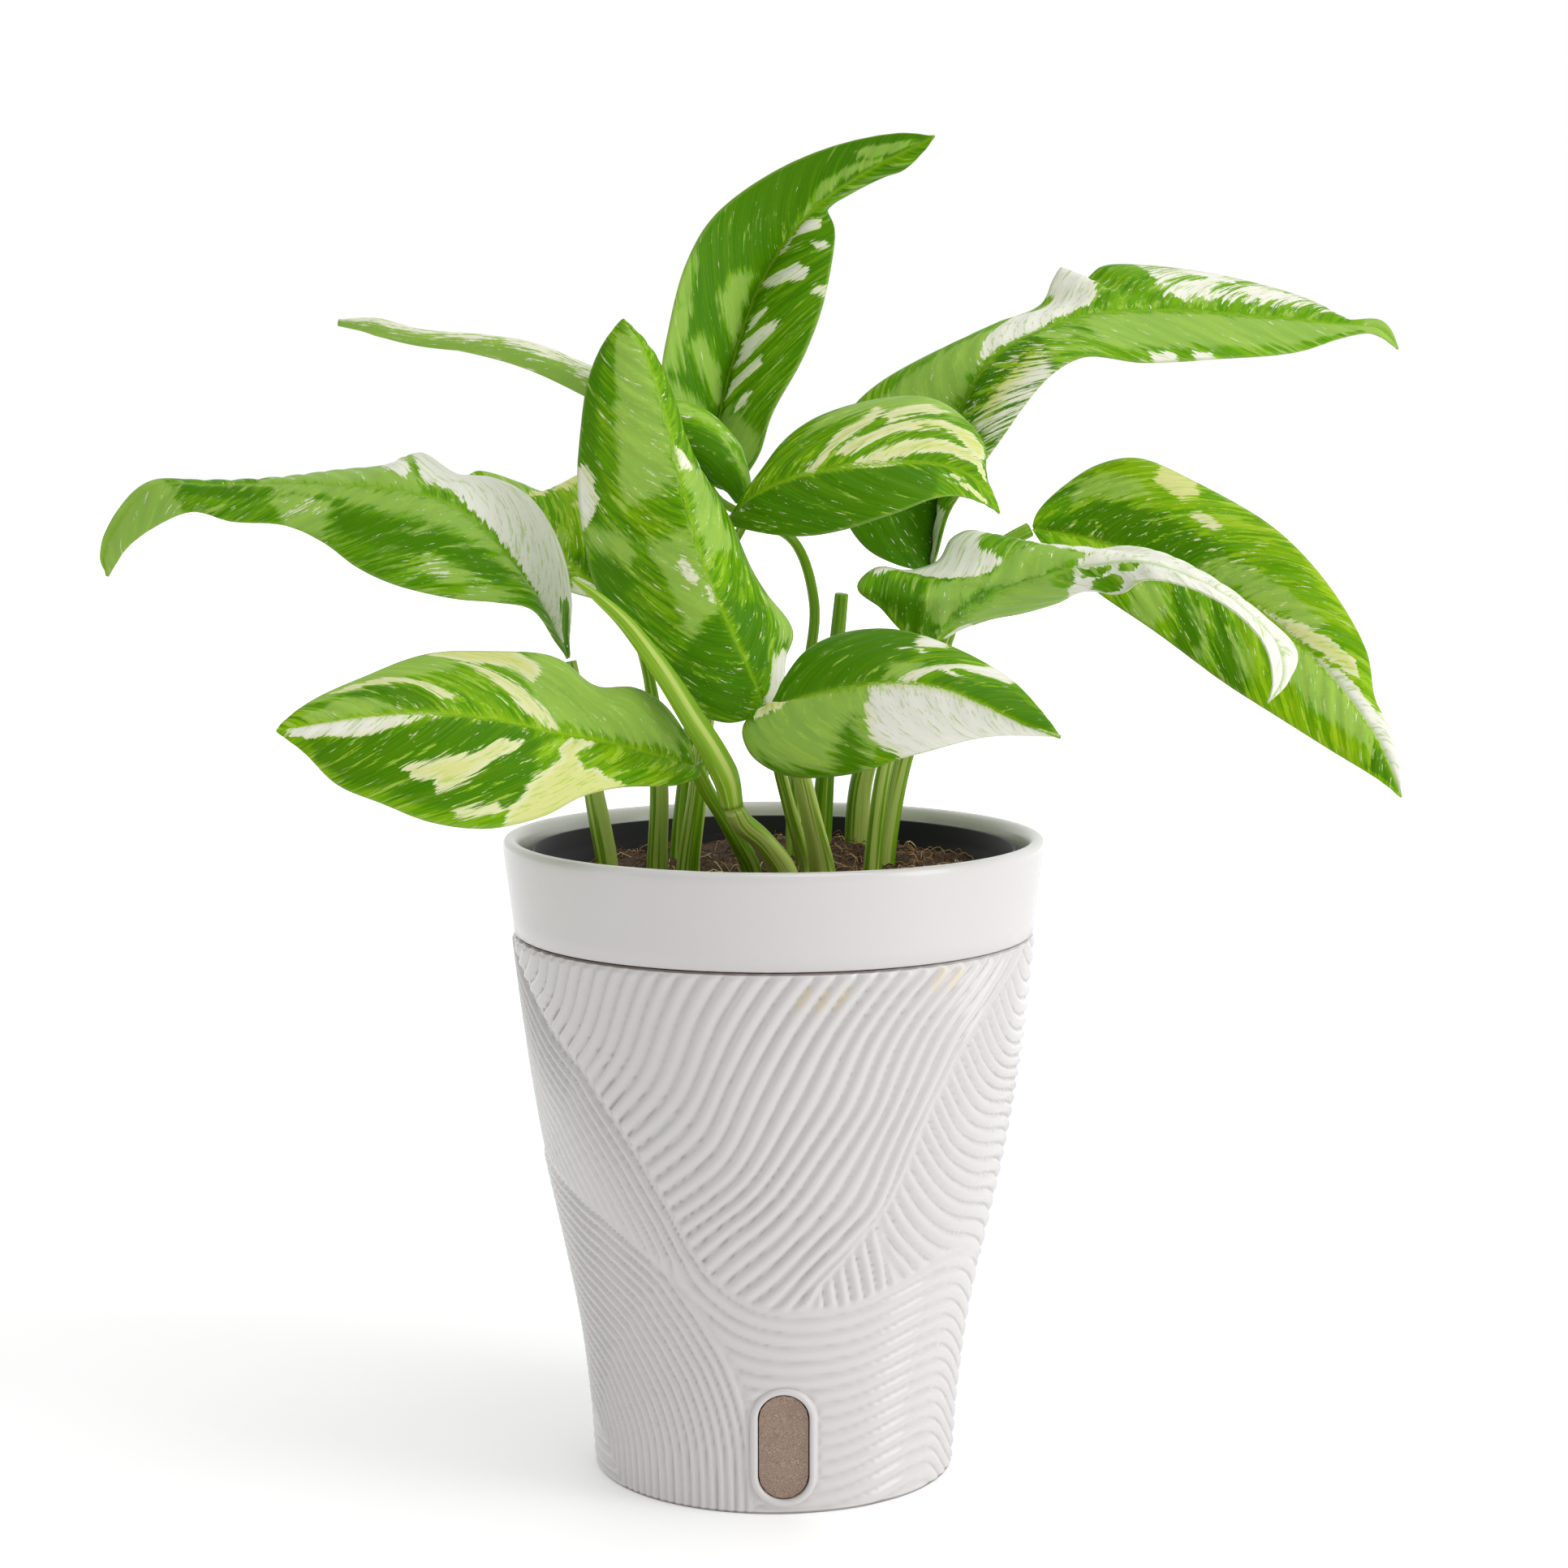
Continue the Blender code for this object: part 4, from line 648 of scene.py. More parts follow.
# Borders of the pot's wave fields, as (angle from the front, height), angles in degrees. The end of
# BAND_TOP beyond 50 degrees is partly judged from the rib below it.
LOBE_LEFT = [(-84, 172), (-68, 158), (-58, 147), (-47, 137), (-43, 130), (-38, 122), (-33, 113),
    (-29, 104), (-25, 95), (-21.5, 85), (-17, 77), (-11, 71), (-5, 67), (2, 65)]
LOBE_RIGHT = [(10, 66), (12.5, 73.5), (17.5, 80), (22.5, 87.5), (29, 98), (32.5, 108), (35.5, 119),
    (38.5, 128), (41, 133.5), (44.2, 141), (48.7, 148), (53, 153.4), (57.6, 158.5), (62.8, 163),
    (69, 168.4), (72, 172)]
BAND_TOP = [(19, 65.8), (26, 68), (32, 70), (37, 72), (42, 74), (50, 77), (58, 77.5), (70, 72),
    (91, 64)]
LEFT_FOOT = [(-30, 77), (-27.5, 74), (-22.5, 68.7), (-19.2, 62.7), (-15.4, 55.9), (-12.5, 49.3),
    (-10.4, 43.9), (-8.5, 38.4), (-7, 33), (-6.2, 25), (-6, -2)]
LEFT_SHOULDER = [(-31, 77.5), (-36.5, 83), (-42.5, 87.5), (-49, 91.5), (-56, 94.5), (-66, 98),
    (-91, 105)]
WEDGE_EDGE = [(35.6, 71.5), (33.4, 74.5), (30.8, 79.5), (28.8, 85), (26.6, 94)]

# How far the fields run past the wall, so that no border falls on its edges
PAST_TOP = 190
PAST_FOOT = -2
PAST_SIDE = 91

# Valleys that were read: the rib count at the valley, then (angle, height) pairs along it
LOBE_RIBS = [
    (1.5, [(-64.7, 171.4), (-67.5, 166.8)]),
    (2.5, [(-59.9, 171.4), (-60.8, 167.2), (-63.5, 162.1)]),
    (3.5, [(-55.8, 171.4), (-57.3, 164.6), (-59.4, 159.7), (-64.7, 157.2)]),
    (6.5, [(-43.8, 171.4), (-46.6, 162.9), (-49.4, 153.9), (-52.4, 149.9), (-55.6, 145.8)]),
    (9.5, [(-31.7, 171.4), (-34.6, 162.9), (-37.2, 154.1), (-39.9, 146.5), (-42.9, 142.2),
        (-46.4, 137.5)]),
    (12.5, [(-19.3, 171.4), (-23.2, 161.4), (-26.6, 150.8), (-29.4, 141.6), (-31.7, 137.5),
        (-34.9, 132.8), (-37.6, 129.3), (-39.4, 126.5)]),
    (15.5, [(-4.9, 171.4), (-8.7, 162.7), (-11.7, 156), (-13.4, 150), (-15.7, 142.4), (-17.5, 136.6),
        (-19.6, 132), (-22, 128), (-24.6, 124), (-27.3, 120.8), (-30.1, 117.7), (-34, 114.2)]),
    (17.5, [(4.9, 171.4), (0.7, 163.7), (-5, 150.2), (-10.7, 135.1), (-15.4, 121.5), (-20.9, 114.5),
        (-24.5, 110.6), (-30.2, 104.8)]),
    (20.5, [(18.8, 171.4), (13.9, 163.2), (7.6, 150), (2.1, 134.9), (-2.5, 121.8), (-7.6, 109.8),
        (-13.3, 102.8), (-17.2, 98.6), (-21.3, 95.2), (-25.6, 91)]),
    (23.5, [(33, 171.4), (20, 150), (13.9, 130), (10.1, 121.8), (4.5, 110), (0, 102), (-9.8, 91),
        (-19.6, 79.4)]),
    (25.5, [(43.3, 171), (28.3, 150), (22.5, 130), (18.8, 121.8), (13.1, 110), (0, 87.5),
        (-13.1, 73.4)]),
    (27.5, [(53, 170.5), (36.5, 150), (29.7, 130), (22.7, 109), (12.3, 90), (0, 73.5), (-5.8, 68.7)]),
    (28.5, [(41, 150), (33.3, 129.8), (22.9, 96.2), (16.3, 87), (8.4, 77.8), (0.5, 67.1)]),
    (29.5, [(62, 168), (51, 155), (46.5, 150), (41, 138.3), (38.5, 132.7), (36.6, 128.2),
        (34.9, 123.4), (33.3, 119), (30.5, 110), (27.6, 98.8), (20, 87.5), (15.5, 81), (10.5, 74.9),
        (5.1, 66.7)]),
]
RIGHT_RIBS = [
    (8.5, [(64.5, 163), (70, 155), (73, 153.4), (79, 152.8)]),
    (4.5, [(54, 153.5), (55.6, 149.6), (58.6, 144.8), (64, 139.2), (69, 136.1), (75.5, 134.8)]),
    (0.5, [(45.4, 142.7), (48, 137.2), (51.3, 132), (55.2, 127.9), (59.7, 125), (65.4, 122.8),
        (72, 121.5)]),
    (-3.5, [(38.6, 127.6), (41.3, 121.9), (44.8, 116.5), (47.3, 113)]),
    (-4.5, [(37.4, 124.5), (40.5, 118.2), (45.6, 110.9), (53, 104.5), (62, 100.3), (71, 98.8)]),
    (-8.5, [(31.1, 106.5), (35, 100), (40, 93.5), (46.7, 87.5), (53, 84), (60, 82)]),
    (-10.5, [(27.9, 97.7), (31.3, 90.9), (36.5, 84.1), (43.6, 77.8)]),
    (-11.5, [(27.9, 90.7), (31.5, 84.5), (36.3, 80), (40, 74.7)]),
    (-12.5, [(32, 78.5), (34.5, 75.7), (36.8, 72.7)]),
]
WEDGE_RIBS = [
    (1.5, [(9.8, 70), (10.2, 65)]),
    (2.5, [(12.9, 73.2), (13.9, 66.3)]),
    (3.5, [(15.7, 77), (17.7, 66)]),
    (4.5, [(18.3, 79.7), (21.3, 67)]),
    (5.5, [(20.8, 84), (25, 68.5)]),
    (6.5, [(23.5, 88.2), (26.3, 79), (28.8, 69.3)]),
    (7.5, [(25.7, 92), (30.3, 77.3), (31.8, 70.6)]),
]
BAND_RIBS = [
    (0.5, [(-16.3, 74.3), (-13.1, 71.2), (-10, 68), (-5, 65.2), (0, 64), (5, 63.3), (10, 63),
        (17, 63.6), (25, 65), (31.5, 67.3), (41, 70.3), (50, 72.6), (57, 71.3), (70, 66)]),
    (-0.5, [(-18, 68.5), (-14, 65), (-10, 62.6), (-5, 60.3), (0, 59)]),
    (-1.5, [(-21, 68), (-17.4, 64), (-13.8, 60.5), (-10, 57.8), (-5, 55.8), (0, 54.2), (10, 53.6),
        (17.5, 54), (24.6, 55), (31, 56.5), (36, 58.2), (41.7, 59.8), (47, 61.2), (52, 62),
        (57.5, 61.3), (61.5, 59.8), (67, 56.5), (70.5, 54)]),
    (-2.5, [(-14.3, 54.3), (-10.2, 52.2), (-5, 50.3), (0, 49.3)]),
    (-3.5, [(-11, 47), (-8, 45.4), (-5, 44.7), (0, 44.4)]),
    (-4.5, [(-9, 41.6), (-6.5, 40.5), (0, 39.6), (17, 40), (25, 41), (31, 42.5), (41.7, 45.3),
        (52, 47.2), (58, 46.4), (62, 44.8), (67, 41.5), (71, 38.5)]),
    (-7.5, [(14, 25.3), (20, 25.8), (30, 28.2), (40, 31), (50, 32.8), (58.5, 31.9), (63, 29.8),
        (68, 26), (72, 22)]),
    (-10.5, [(14, 10.8), (20, 11.5), (30, 14), (40, 16.8), (50, 18.4), (58, 17.4), (64, 14),
        (70, 8.5)]),
    (-12.5, [(14, 1.5), (30, 4.2), (40, 6.8), (50, 8.6), (58, 8)]),
]

# The first valley of the lower left field. Its other valleys follow at an even distance, as the
# valleys left of the lobe follow the lobe's border. FOOT_FAR closes its outline outside the wall.
FOOT_FIRST = [(-91, 103), (-75, 99.5), (-62, 95.3), (-56, 92.4), (-49, 89.5), (-43, 85.6),
    (-37.7, 81.9), (-33.2, 78.3), (-29.8, 74.5), (-26.2, 68.3), (-22.6, 62.5), (-18.9, 55.3),
    (-15.7, 48.8), (-13.3, 41.8), (-11.5, 35.6), (-10, 28.5), (-9, 20.3), (-8.7, 10.3)]
FOOT_FAR = [(-8.7, -60), (-200, -60), (-200, 104)]
FOOT_PITCH = 3.9
LEFT_PITCH = 3.7
LEFT_FIRST = 1.6

# Yellowish stains on the waved wall, as (angle, height). They are on its front only, and end between
# the two STAIN_DEPTHS, which are in metres.
STAINS = [(6.5, 164), (10.4, 163), (14.5, 163.5), (37.3, 167), (42, 166.5)]
STAIN_HALF_WIDTH = 2.0
STAIN_HALF_LENGTH = 4.5
STAIN_LEAN = 0.55
STAIN_DEPTHS = (-0.03, -0.01)

# Brown line at the top of the waved wall, and a painted shadow along its foot: their heights in
# millimetres, and how the line at the top weakens between two places across, in metres
SEAM_LINE = (OUTER_TOP - 0.8, OUTER_TOP - 0.4)
SEAM_PLACES = (0.02, 0.07)
SEAM_STRENGTHS = (0.85, 0.3)
FOOT_SHADOW = (0.4, 1.0)
FOOT_SHADOW_STRENGTH = 0.6

# Colours
DEEP_GREEN = (0.040, 0.170, 0.0)
MID_GREEN = (0.105, 0.320, 0.0)
LIGHT_GREEN = (0.36, 0.57, 0.006)
MINT_GREEN = (0.24, 0.47, 0.010)
GREY_GREEN = (0.38, 0.56, 0.13)
WHITE = (0.84, 0.84, 0.74)
CREAM = (0.68, 0.70, 0.27)
STALK_DARK = (0.075, 0.21, 0.0)
STALK_GREEN = (0.22, 0.42, 0.008)
STALK_PALE = (0.34, 0.56, 0.03)
STALK_STREAK = (0.52, 0.66, 0.17)
STALK_CREAM = (0.52, 0.60, 0.12)
WALL_WHITE = (0.64, 0.62, 0.61)
WALL_SPECK = (0.50, 0.41, 0.35)
STAIN_YELLOW = (0.72, 0.60, 0.38)
SEAM_AND_FOOT_SHADOW_BROWN = (0.09, 0.05, 0.035)
NURSERY_BLACK = (0.012, 0.012, 0.013)
WICK_FELT = (0.6, 0.58, 0.52)
PANE_DARK = (0.20, 0.12, 0.075)
PANE_BROWN = (0.36, 0.25, 0.18)
PANE_SPECK = (0.75, 0.68, 0.60)
PANE_SHADE = (0.16, 0.10, 0.07)
SOIL_DARK = (0.018, 0.009, 0.005)
SOIL_BROWN = (0.12, 0.055, 0.025)
SOIL_CLUMP = (0.07, 0.03, 0.014)
SOIL_CRUMB = (0.35, 0.22, 0.12)


def seen(right, down, depth):
    """The millimetre place of one point of the photograph, at a depth behind the pot's axis."""
    across = (right - SIGHT_MIDDLE) / SIGHT_REACH
    up = (SIGHT_MIDDLE - down) / SIGHT_REACH
    ahead = (depth - SIGHT_FROM[1]) / (math.cos(SIGHT_TILT) + up * math.sin(SIGHT_TILT))
    rise = up * math.cos(SIGHT_TILT) - math.sin(SIGHT_TILT)
    return np.array([SIGHT_FROM[0] + across * ahead, depth, SIGHT_FROM[2] + rise * ahead])


def placed(name, line):
    """A leaf's line in millimetres, with the leaf's lean added to its depths."""
    if name not in LEANS:
        return [seen(*spot) for spot in line]
    way, start, share = LEANS[name]
    places = []
    for right, down, depth in line:
        beyond = {"right": right - start, "left": start - right, "up": start - down}[way]
        places.append(seen(right, down, depth + share * max(0, beyond)))
    return places


def step_lengths(points):
    return np.linalg.norm(np.diff(points, axis=0), axis=1)


def running_total(steps):
    return np.concatenate([[0.0], np.cumsum(steps)])


def spread(values, share):
    """A list's values at shares of the way along it."""
    return np.interp(share, np.linspace(0, 1, len(values)), values)


def smooth_line(points, fractions):
    """Points at the given fractions of length along a smooth curve through the given points."""
    knots = np.array(points, float)
    along = running_total(np.sqrt(step_lengths(knots)))
    slope = np.gradient(knots, along, axis=0)
    fine = np.linspace(0.0, along[-1], CURVE_STEPS * len(knots))
    piece = np.clip(np.searchsorted(along, fine, side="right") - 1, 0, len(knots) - 2)
    span = (along[piece + 1] - along[piece])[:, None]
    t = ((fine - along[piece]) / span[:, 0])[:, None]
    curve = (knots[piece] * (1 + 2 * t) * (1 - t) ** 2 + slope[piece] * span * t * (1 - t) ** 2
             + knots[piece + 1] * t * t * (3 - 2 * t) - slope[piece + 1] * span * t * t * (1 - t))
    walked = running_total(step_lengths(curve))
    at = np.asarray(fractions) * walked[-1]
    return np.stack([np.interp(at, walked, curve[:, axis]) for axis in range(3)], axis=1)


def unit(vectors):
    return vectors / np.maximum(np.linalg.norm(vectors, axis=-1, keepdims=True), 1e-9)


def blade_points(leaf):
    """A blade's grid of points, with how far along (0 to 1) and across (-1 to 1) each one is."""
    fractions = np.linspace(*BLADE_ENDS, BLADE_ROWS + 1)
    rib = smooth_line(leaf["rib"], fractions)
    ahead = unit(np.gradient(rib, axis=0))
    length = step_lengths(rib).sum()
    steps = np.linspace(0.0, 1.0, HALF_COLUMNS + 1)[1:]
    halves = {}
    for side, turn in (("left", 1.0), ("right", -1.0)):
        rail = [leaf["rib"][0]] + leaf[side] + [leaf["rib"][-1]]
        out = smooth_line(rail, fractions) - rib
        width = np.linalg.norm(out, axis=1)
        up = turn * unit(np.cross(ahead, out))
        rise = 4 * BLADE_BULGE * width[:, None] * (steps * (1 - steps))[None, :]
        half = rib[:, None] + out[:, None] * steps[None, :, None] + up[:, None] * rise[:, :, None]
        reach = width[:, None] * steps[None, :]
        halves[side] = (half, reach, up)
    left, right = halves["left"], halves["right"]
    points = np.concatenate([left[0][:, ::-1], rib[:, None], right[0]], axis=1)
    zero = np.zeros((len(rib), 1))
    reach = np.concatenate([-left[1][:, ::-1], zero, right[1]], axis=1)
    across = np.concatenate([-steps[::-1], [0.0], steps])
    along = np.broadcast_to(fractions[:, None], reach.shape)
    across = np.broadcast_to(across[None, :], reach.shape)
    return points, along, across, reach, length


def grid_mesh(name, points, materials, closed=False):
    """A mesh over a grid of points in millimetres, joined round when closed."""
    rows, width = points.shape[:2]
    corner = np.arange(rows * width).reshape(rows, width)
    if closed:
        corner = np.concatenate([corner, corner[:, :1]], axis=1)
    a, b = corner[:-1, :-1], corner[:-1, 1:]
    c, d = corner[1:, 1:], corner[1:, :-1]
    faces = np.stack([a, b, c, d], axis=-1).reshape(-1, 4)
    mesh = bpy.data.meshes.new(name)
    mesh.from_pydata((points.reshape(-1, 3) * MM).tolist(), [], faces.tolist())
    mesh.shade_smooth()
    for material in materials:
        mesh.materials.append(material)
    return mesh


def put_attribute(mesh, name, values):
    """Store three or four numbers for each vertex under a name that the materials read."""
    values = np.asarray(values, np.float32).reshape(len(mesh.vertices), -1)
    if values.shape[1] == 4:
        layer = mesh.color_attributes.new(name, "FLOAT_COLOR", "POINT")
        layer.data.foreach_set("color", values.ravel())
    else:
        layer = mesh.attributes.new(name, "FLOAT_VECTOR", "POINT")
        layer.data.foreach_set("vector", values.ravel())


def add_piece(name, data, replaces=()):
    """Link a piece, ride it on the only body and let it stand for CAD nodes."""
    made = bpy.data.objects.new(name, data)
    bpy.context.scene.collection.objects.link(made)
    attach(made, "root")
    if replaces:
        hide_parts(*replaces)
    return made


def thicken(made, thickness):
    solid = made.modifiers.new("thickness", "SOLIDIFY")
    solid.thickness = thickness * MM
    solid.offset = 0.0
    solid.material_offset = 1


def inside_distance(points, outline):
    """Signed distance from each point to a closed outline, positive inside."""
    starts = np.array(outline, float)
    ends = np.roll(starts, -1, axis=0)
    nearest = np.full(len(points), np.inf)
    inside = np.zeros(len(points), bool)
    for start, end in zip(starts, ends):
        side = end - start
        share = np.clip((points - start) @ side / max(side @ side, 1e-9), 0.0, 1.0)
        away = np.linalg.norm(points - start - share[:, None] * side, axis=1)
        nearest = np.minimum(nearest, away)
        crosses = (start[1] > points[:, 1]) != (end[1] > points[:, 1])
        rise = end[1] - start[1] if end[1] != start[1] else 1e-9
        at = start[0] + (points[:, 1] - start[1]) * side[0] / rise
        inside ^= crosses & (points[:, 0] < at)
    return np.where(inside, nearest, -nearest)


def smooth_step(values):
    share = np.clip(values, 0.0, 1.0)
    return share * share * (3 - 2 * share)


class Nodes:
    """A node tree built one node at a time."""

    def __init__(self, owner):
        owner.use_nodes = True
        self.tree = owner.node_tree

    def feed(self, socket, value):
        if isinstance(value, bpy.types.NodeSocket):
            self.tree.links.new(value, socket)
        else:
            socket.default_value = value

    def add(self, kind, values, **settings):
        made = self.tree.nodes.new(kind)
        for key, value in settings.items():
            setattr(made, key, value)
        for key, value in values.items():
            self.feed(made.inputs[key], value)
        return made

    def math(self, operation, first, second=0.0):
        made = self.add("ShaderNodeMath", {0: first, 1: second}, operation=operation)
        return made.outputs[0]

    def ramp(self, value, low, high, start=0.0, end=1.0):
        """A smooth step of the value between low and high."""
        made = self.add("ShaderNodeMapRange", {0: value, 1: low, 2: high, 3: start, 4: end},
                        interpolation_type="SMOOTHSTEP")
        return made.outputs[0]


class Look(Nodes):
    """A material with one main shader."""

    def __init__(self, name):
        self.material = bpy.data.materials.new(name)
        super().__init__(self.material)
        self.shader = self.tree.nodes["Principled BSDF"]

    def attribute(self, name):
        return self.add("ShaderNodeAttribute", {}, attribute_name=name)

    def channels(self, name):
        """The three numbers of an attribute and its fourth one."""
        read = self.attribute(name)
        split = self.add("ShaderNodeSeparateColor", {0: read.outputs["Color"]})
        return list(split.outputs) + [read.outputs["Alpha"]]

    def place(self):
        return self.add("ShaderNodeTexCoord", {}).outputs["Object"]

    def noise(self, vector, scale=1.0, detail=2.0, roughness=0.5):
        made = self.add("ShaderNodeTexNoise", {"Vector": vector, "Scale": scale, "Detail": detail,
                                               "Roughness": roughness})
        return made.outputs[0]

    def strands(self, vector, across, along, third=1.0, detail=2.0, roughness=0.5):
        """Noise in strands, whose width and length are given in millimetres."""
        factors = (1 / across, 1 / along, third)
        drawn = self.add("ShaderNodeVectorMath", {0: vector, 1: factors}, operation="MULTIPLY")
        return self.noise(drawn.outputs[0], 1.0, detail, roughness)

    def mix(self, share, first, second):
        first, second = [(*c, 1.0) if isinstance(c, tuple) else c for c in (first, second)]
        made = self.add("ShaderNodeMix", {0: share, 6: first, 7: second}, data_type="RGBA")
        return made.outputs[2]

    def bump(self, height, distance, strength=1.0):
        made = self.add("ShaderNodeBump", {"Height": height, "Distance": distance * MM,
                                           "Strength": strength})
        self.tree.links.new(made.outputs[0], self.shader.inputs["Normal"])

    def finish(self, **values):
        """Set the shader's sockets by their names, written with underscores."""
        for key, value in values.items():
            value = (*value, 1.0) if isinstance(value, tuple) else value
            self.feed(self.shader.inputs[key.replace("_", " ")], value)
        return self.material


def frayed(look, amount, streaks, width=0.05, reach=1.7):
    """A painted amount with its edge broken up along the veins."""
    shift = look.math("MULTIPLY", look.math("SUBTRACT", streaks, 0.5), reach)
    shifted = look.math("ADD", amount, shift)
    return look.ramp(shifted, 0.5 - width, 0.5 + width)


def leaf_material(name, under):
    look = Look(name)
    vein = look.attribute("vein").outputs["Vector"]
    white, yellow, pale, dark = look.channels("paint")
    mottle, rib, _ripple, edge = look.channels("tone")
    streaks = look.strands(vein, 1.7, 11.0, detail=5.0, roughness=0.68)
    patches = look.strands(vein, 3.4, 9.0, 2.0, detail=5.0, roughness=0.68)
    fine = look.strands(vein, 1.3, 4.5, 1.5, detail=4.0, roughness=0.65)
    broad = look.strands(vein, 8.0, 22.0)
    hair = look.strands(vein, 0.4, 14.0, detail=1.0)
    light = look.mix(yellow, WHITE, CREAM)
    fresh = look.mix(yellow, MINT_GREEN, LIGHT_GREEN)
    # dark: the blade's own deep green, and on some marks painted shade
    dark_part = frayed(look, dark, streaks, 0.22)
    green = look.mix(look.ramp(broad, 0.35, 0.65, 0.0, 0.5), MID_GREEN, fresh)
    green = look.mix(look.math("MULTIPLY", dark_part, 0.85), green, DEEP_GREEN)
    green = look.mix(look.ramp(hair, 0.4, 0.7, 0.0, 0.16), green, fresh)
    level = look.math("ADD", patches, look.math("MULTIPLY", mottle, 0.16))
    level = look.math("SUBTRACT", level, look.math("MULTIPLY", dark_part, 0.07))
    green = look.mix(look.ramp(level, 0.60, 0.635, 0.0, 0.7), green, fresh)
    # pale: the blade's own grey-green, and on some marks painted sheen
    pale_part = frayed(look, pale, patches, 0.16, 2.0)
    green = look.mix(look.math("MULTIPLY", pale_part, 0.55), green, GREY_GREEN)
    level = look.math("ADD", fine, look.math("MULTIPLY", mottle, 0.14))
    green = look.mix(look.ramp(level, 0.70, 0.73, 0.0, 0.8), green, light)
    white_part = frayed(look, white, streaks)
    dirty = look.mix(look.ramp(fine, 0.52, 0.63, 0.0, 0.6), light, look.mix(yellow, GREY_GREEN, fresh))
    colour = look.mix(white_part, green, dirty)
    colour = look.mix(look.math("MULTIPLY", rib, 0.5), colour, fresh)
    colour = look.mix(look.math("MULTIPLY", edge, 0.4), colour, GREY_GREEN)
    if under:
        colour = look.mix(0.45, colour, GREY_GREEN)
    look.bump(look.math("ADD", hair, look.math("MULTIPLY", fine, 0.6)), 0.12, 0.35)
    return look.finish(Base_Color=colour, Roughness=0.5 if under else 0.42,
                       Specular_IOR_Level=0.07)


def stalk_material():
    look = Look("leaf stalks")
    strand = look.attribute("vein").outputs["Vector"]
    white, yellow, pale, _dark = look.channels("paint")
    bands = look.strands(strand, 1.7, 90.0)
    fine = look.strands(strand, 0.5, 40.0)
    spots = look.strands(strand, 1.2, 7.0, detail=3.0)
    green = look.mix(look.ramp(fine, 0.35, 0.7), STALK_DARK, STALK_GREEN)
    green = look.mix(look.math("MULTIPLY", pale, 0.35), green, STALK_PALE)
    level = look.math("ADD", look.math("MULTIPLY", white, 0.42), bands)
    light = look.mix(yellow, STALK_STREAK, STALK_CREAM)
    green = look.mix(look.ramp(level, 0.62, 0.72, 0.0, 0.85), green, light)
    green = look.mix(look.ramp(spots, 0.7, 0.76, 0.0, 0.5), green, light)
    look.bump(fine, 0.15, 0.4)
    return look.finish(Base_Color=green, Roughness=0.42, Specular_IOR_Level=0.25)


def wall_marks(look, colour):
    """Yellow stains, the brown line at the waved wall's top, and a painted shadow along its foot."""
    across, depth, height = look.add("ShaderNodeSeparateXYZ", {0: look.place()}).outputs
    front = look.ramp(depth, *STAIN_DEPTHS, 1.0, 0.0)
    for angle, middle in STAINS:
        side = float(wall_radius(middle)) * math.sin(math.radians(angle)) * MM
        up = look.math("SUBTRACT", height, middle * MM)
        lean = look.math("MULTIPLY", up, STAIN_LEAN)
        beside = look.math("SUBTRACT", look.math("SUBTRACT", across, side), lean)
        beside = look.math("DIVIDE", beside, STAIN_HALF_WIDTH * MM)
        up = look.math("DIVIDE", up, STAIN_HALF_LENGTH * MM)
        away = look.math("ADD", look.math("MULTIPLY", beside, beside), look.math("MULTIPLY", up, up))
        share = look.math("MULTIPLY", front, look.ramp(away, 0.2, 1.0, 0.5, 0.0))
        colour = look.mix(share, colour, STAIN_YELLOW)
    seam = look.ramp(height, SEAM_LINE[0] * MM, SEAM_LINE[1] * MM)
    seam = look.math("MULTIPLY", seam, look.ramp(across, *SEAM_PLACES, *SEAM_STRENGTHS))
    # Painted shadow along the wall's foot, darker towards its bottom edge, in the same brown as the top
    # line
    foot = look.ramp(height, FOOT_SHADOW[0] * MM, FOOT_SHADOW[1] * MM, FOOT_SHADOW_STRENGTH, 0.0)
    return look.mix(look.math("MAXIMUM", seam, foot), colour, SEAM_AND_FOOT_SHADOW_BROWN)


def wall_material(name, peel):
    """Glossy off-white plastic: the smooth band has a faint orange peel, the waved wall its stains, its
    brown top line and a painted shadow along its foot.
    """
    look = Look(name)
    spots = look.noise(look.place(), 900.0, 2.0)
    if peel:
        look.bump(look.noise(look.place(), 1500.0, 2.0), 0.12, 0.25)
    colour = look.mix(look.ramp(spots, 0.78, 0.84, 0.0, 0.5), WALL_WHITE, WALL_SPECK)
    if not peel:
        colour = wall_marks(look, colour)
    return look.finish(Base_Color=colour, Roughness=0.26, Coat_Weight=0.3, Coat_Roughness=0.12)


def pane_material():
    look = Look("speckled window")
    place = look.place()
    grain = look.noise(place, 2600.0, 3.0, 0.7)
    patch = look.noise(place, 260.0, 2.0)
    colour = look.mix(look.ramp(grain, 0.35, 0.65), PANE_DARK, PANE_BROWN)
    colour = look.mix(look.ramp(grain, 0.64, 0.72), colour, PANE_SPECK)
    colour = look.mix(look.ramp(patch, 0.55, 0.75, 0.0, 0.3), colour, PANE_SHADE)
    look.bump(grain, 0.3, 0.5)
    return look.finish(Base_Color=colour, Roughness=0.22, Coat_Weight=0.5, Coat_Roughness=0.05)


def plain_material(name, colour, roughness):
    return Look(name).finish(Base_Color=colour, Roughness=roughness)


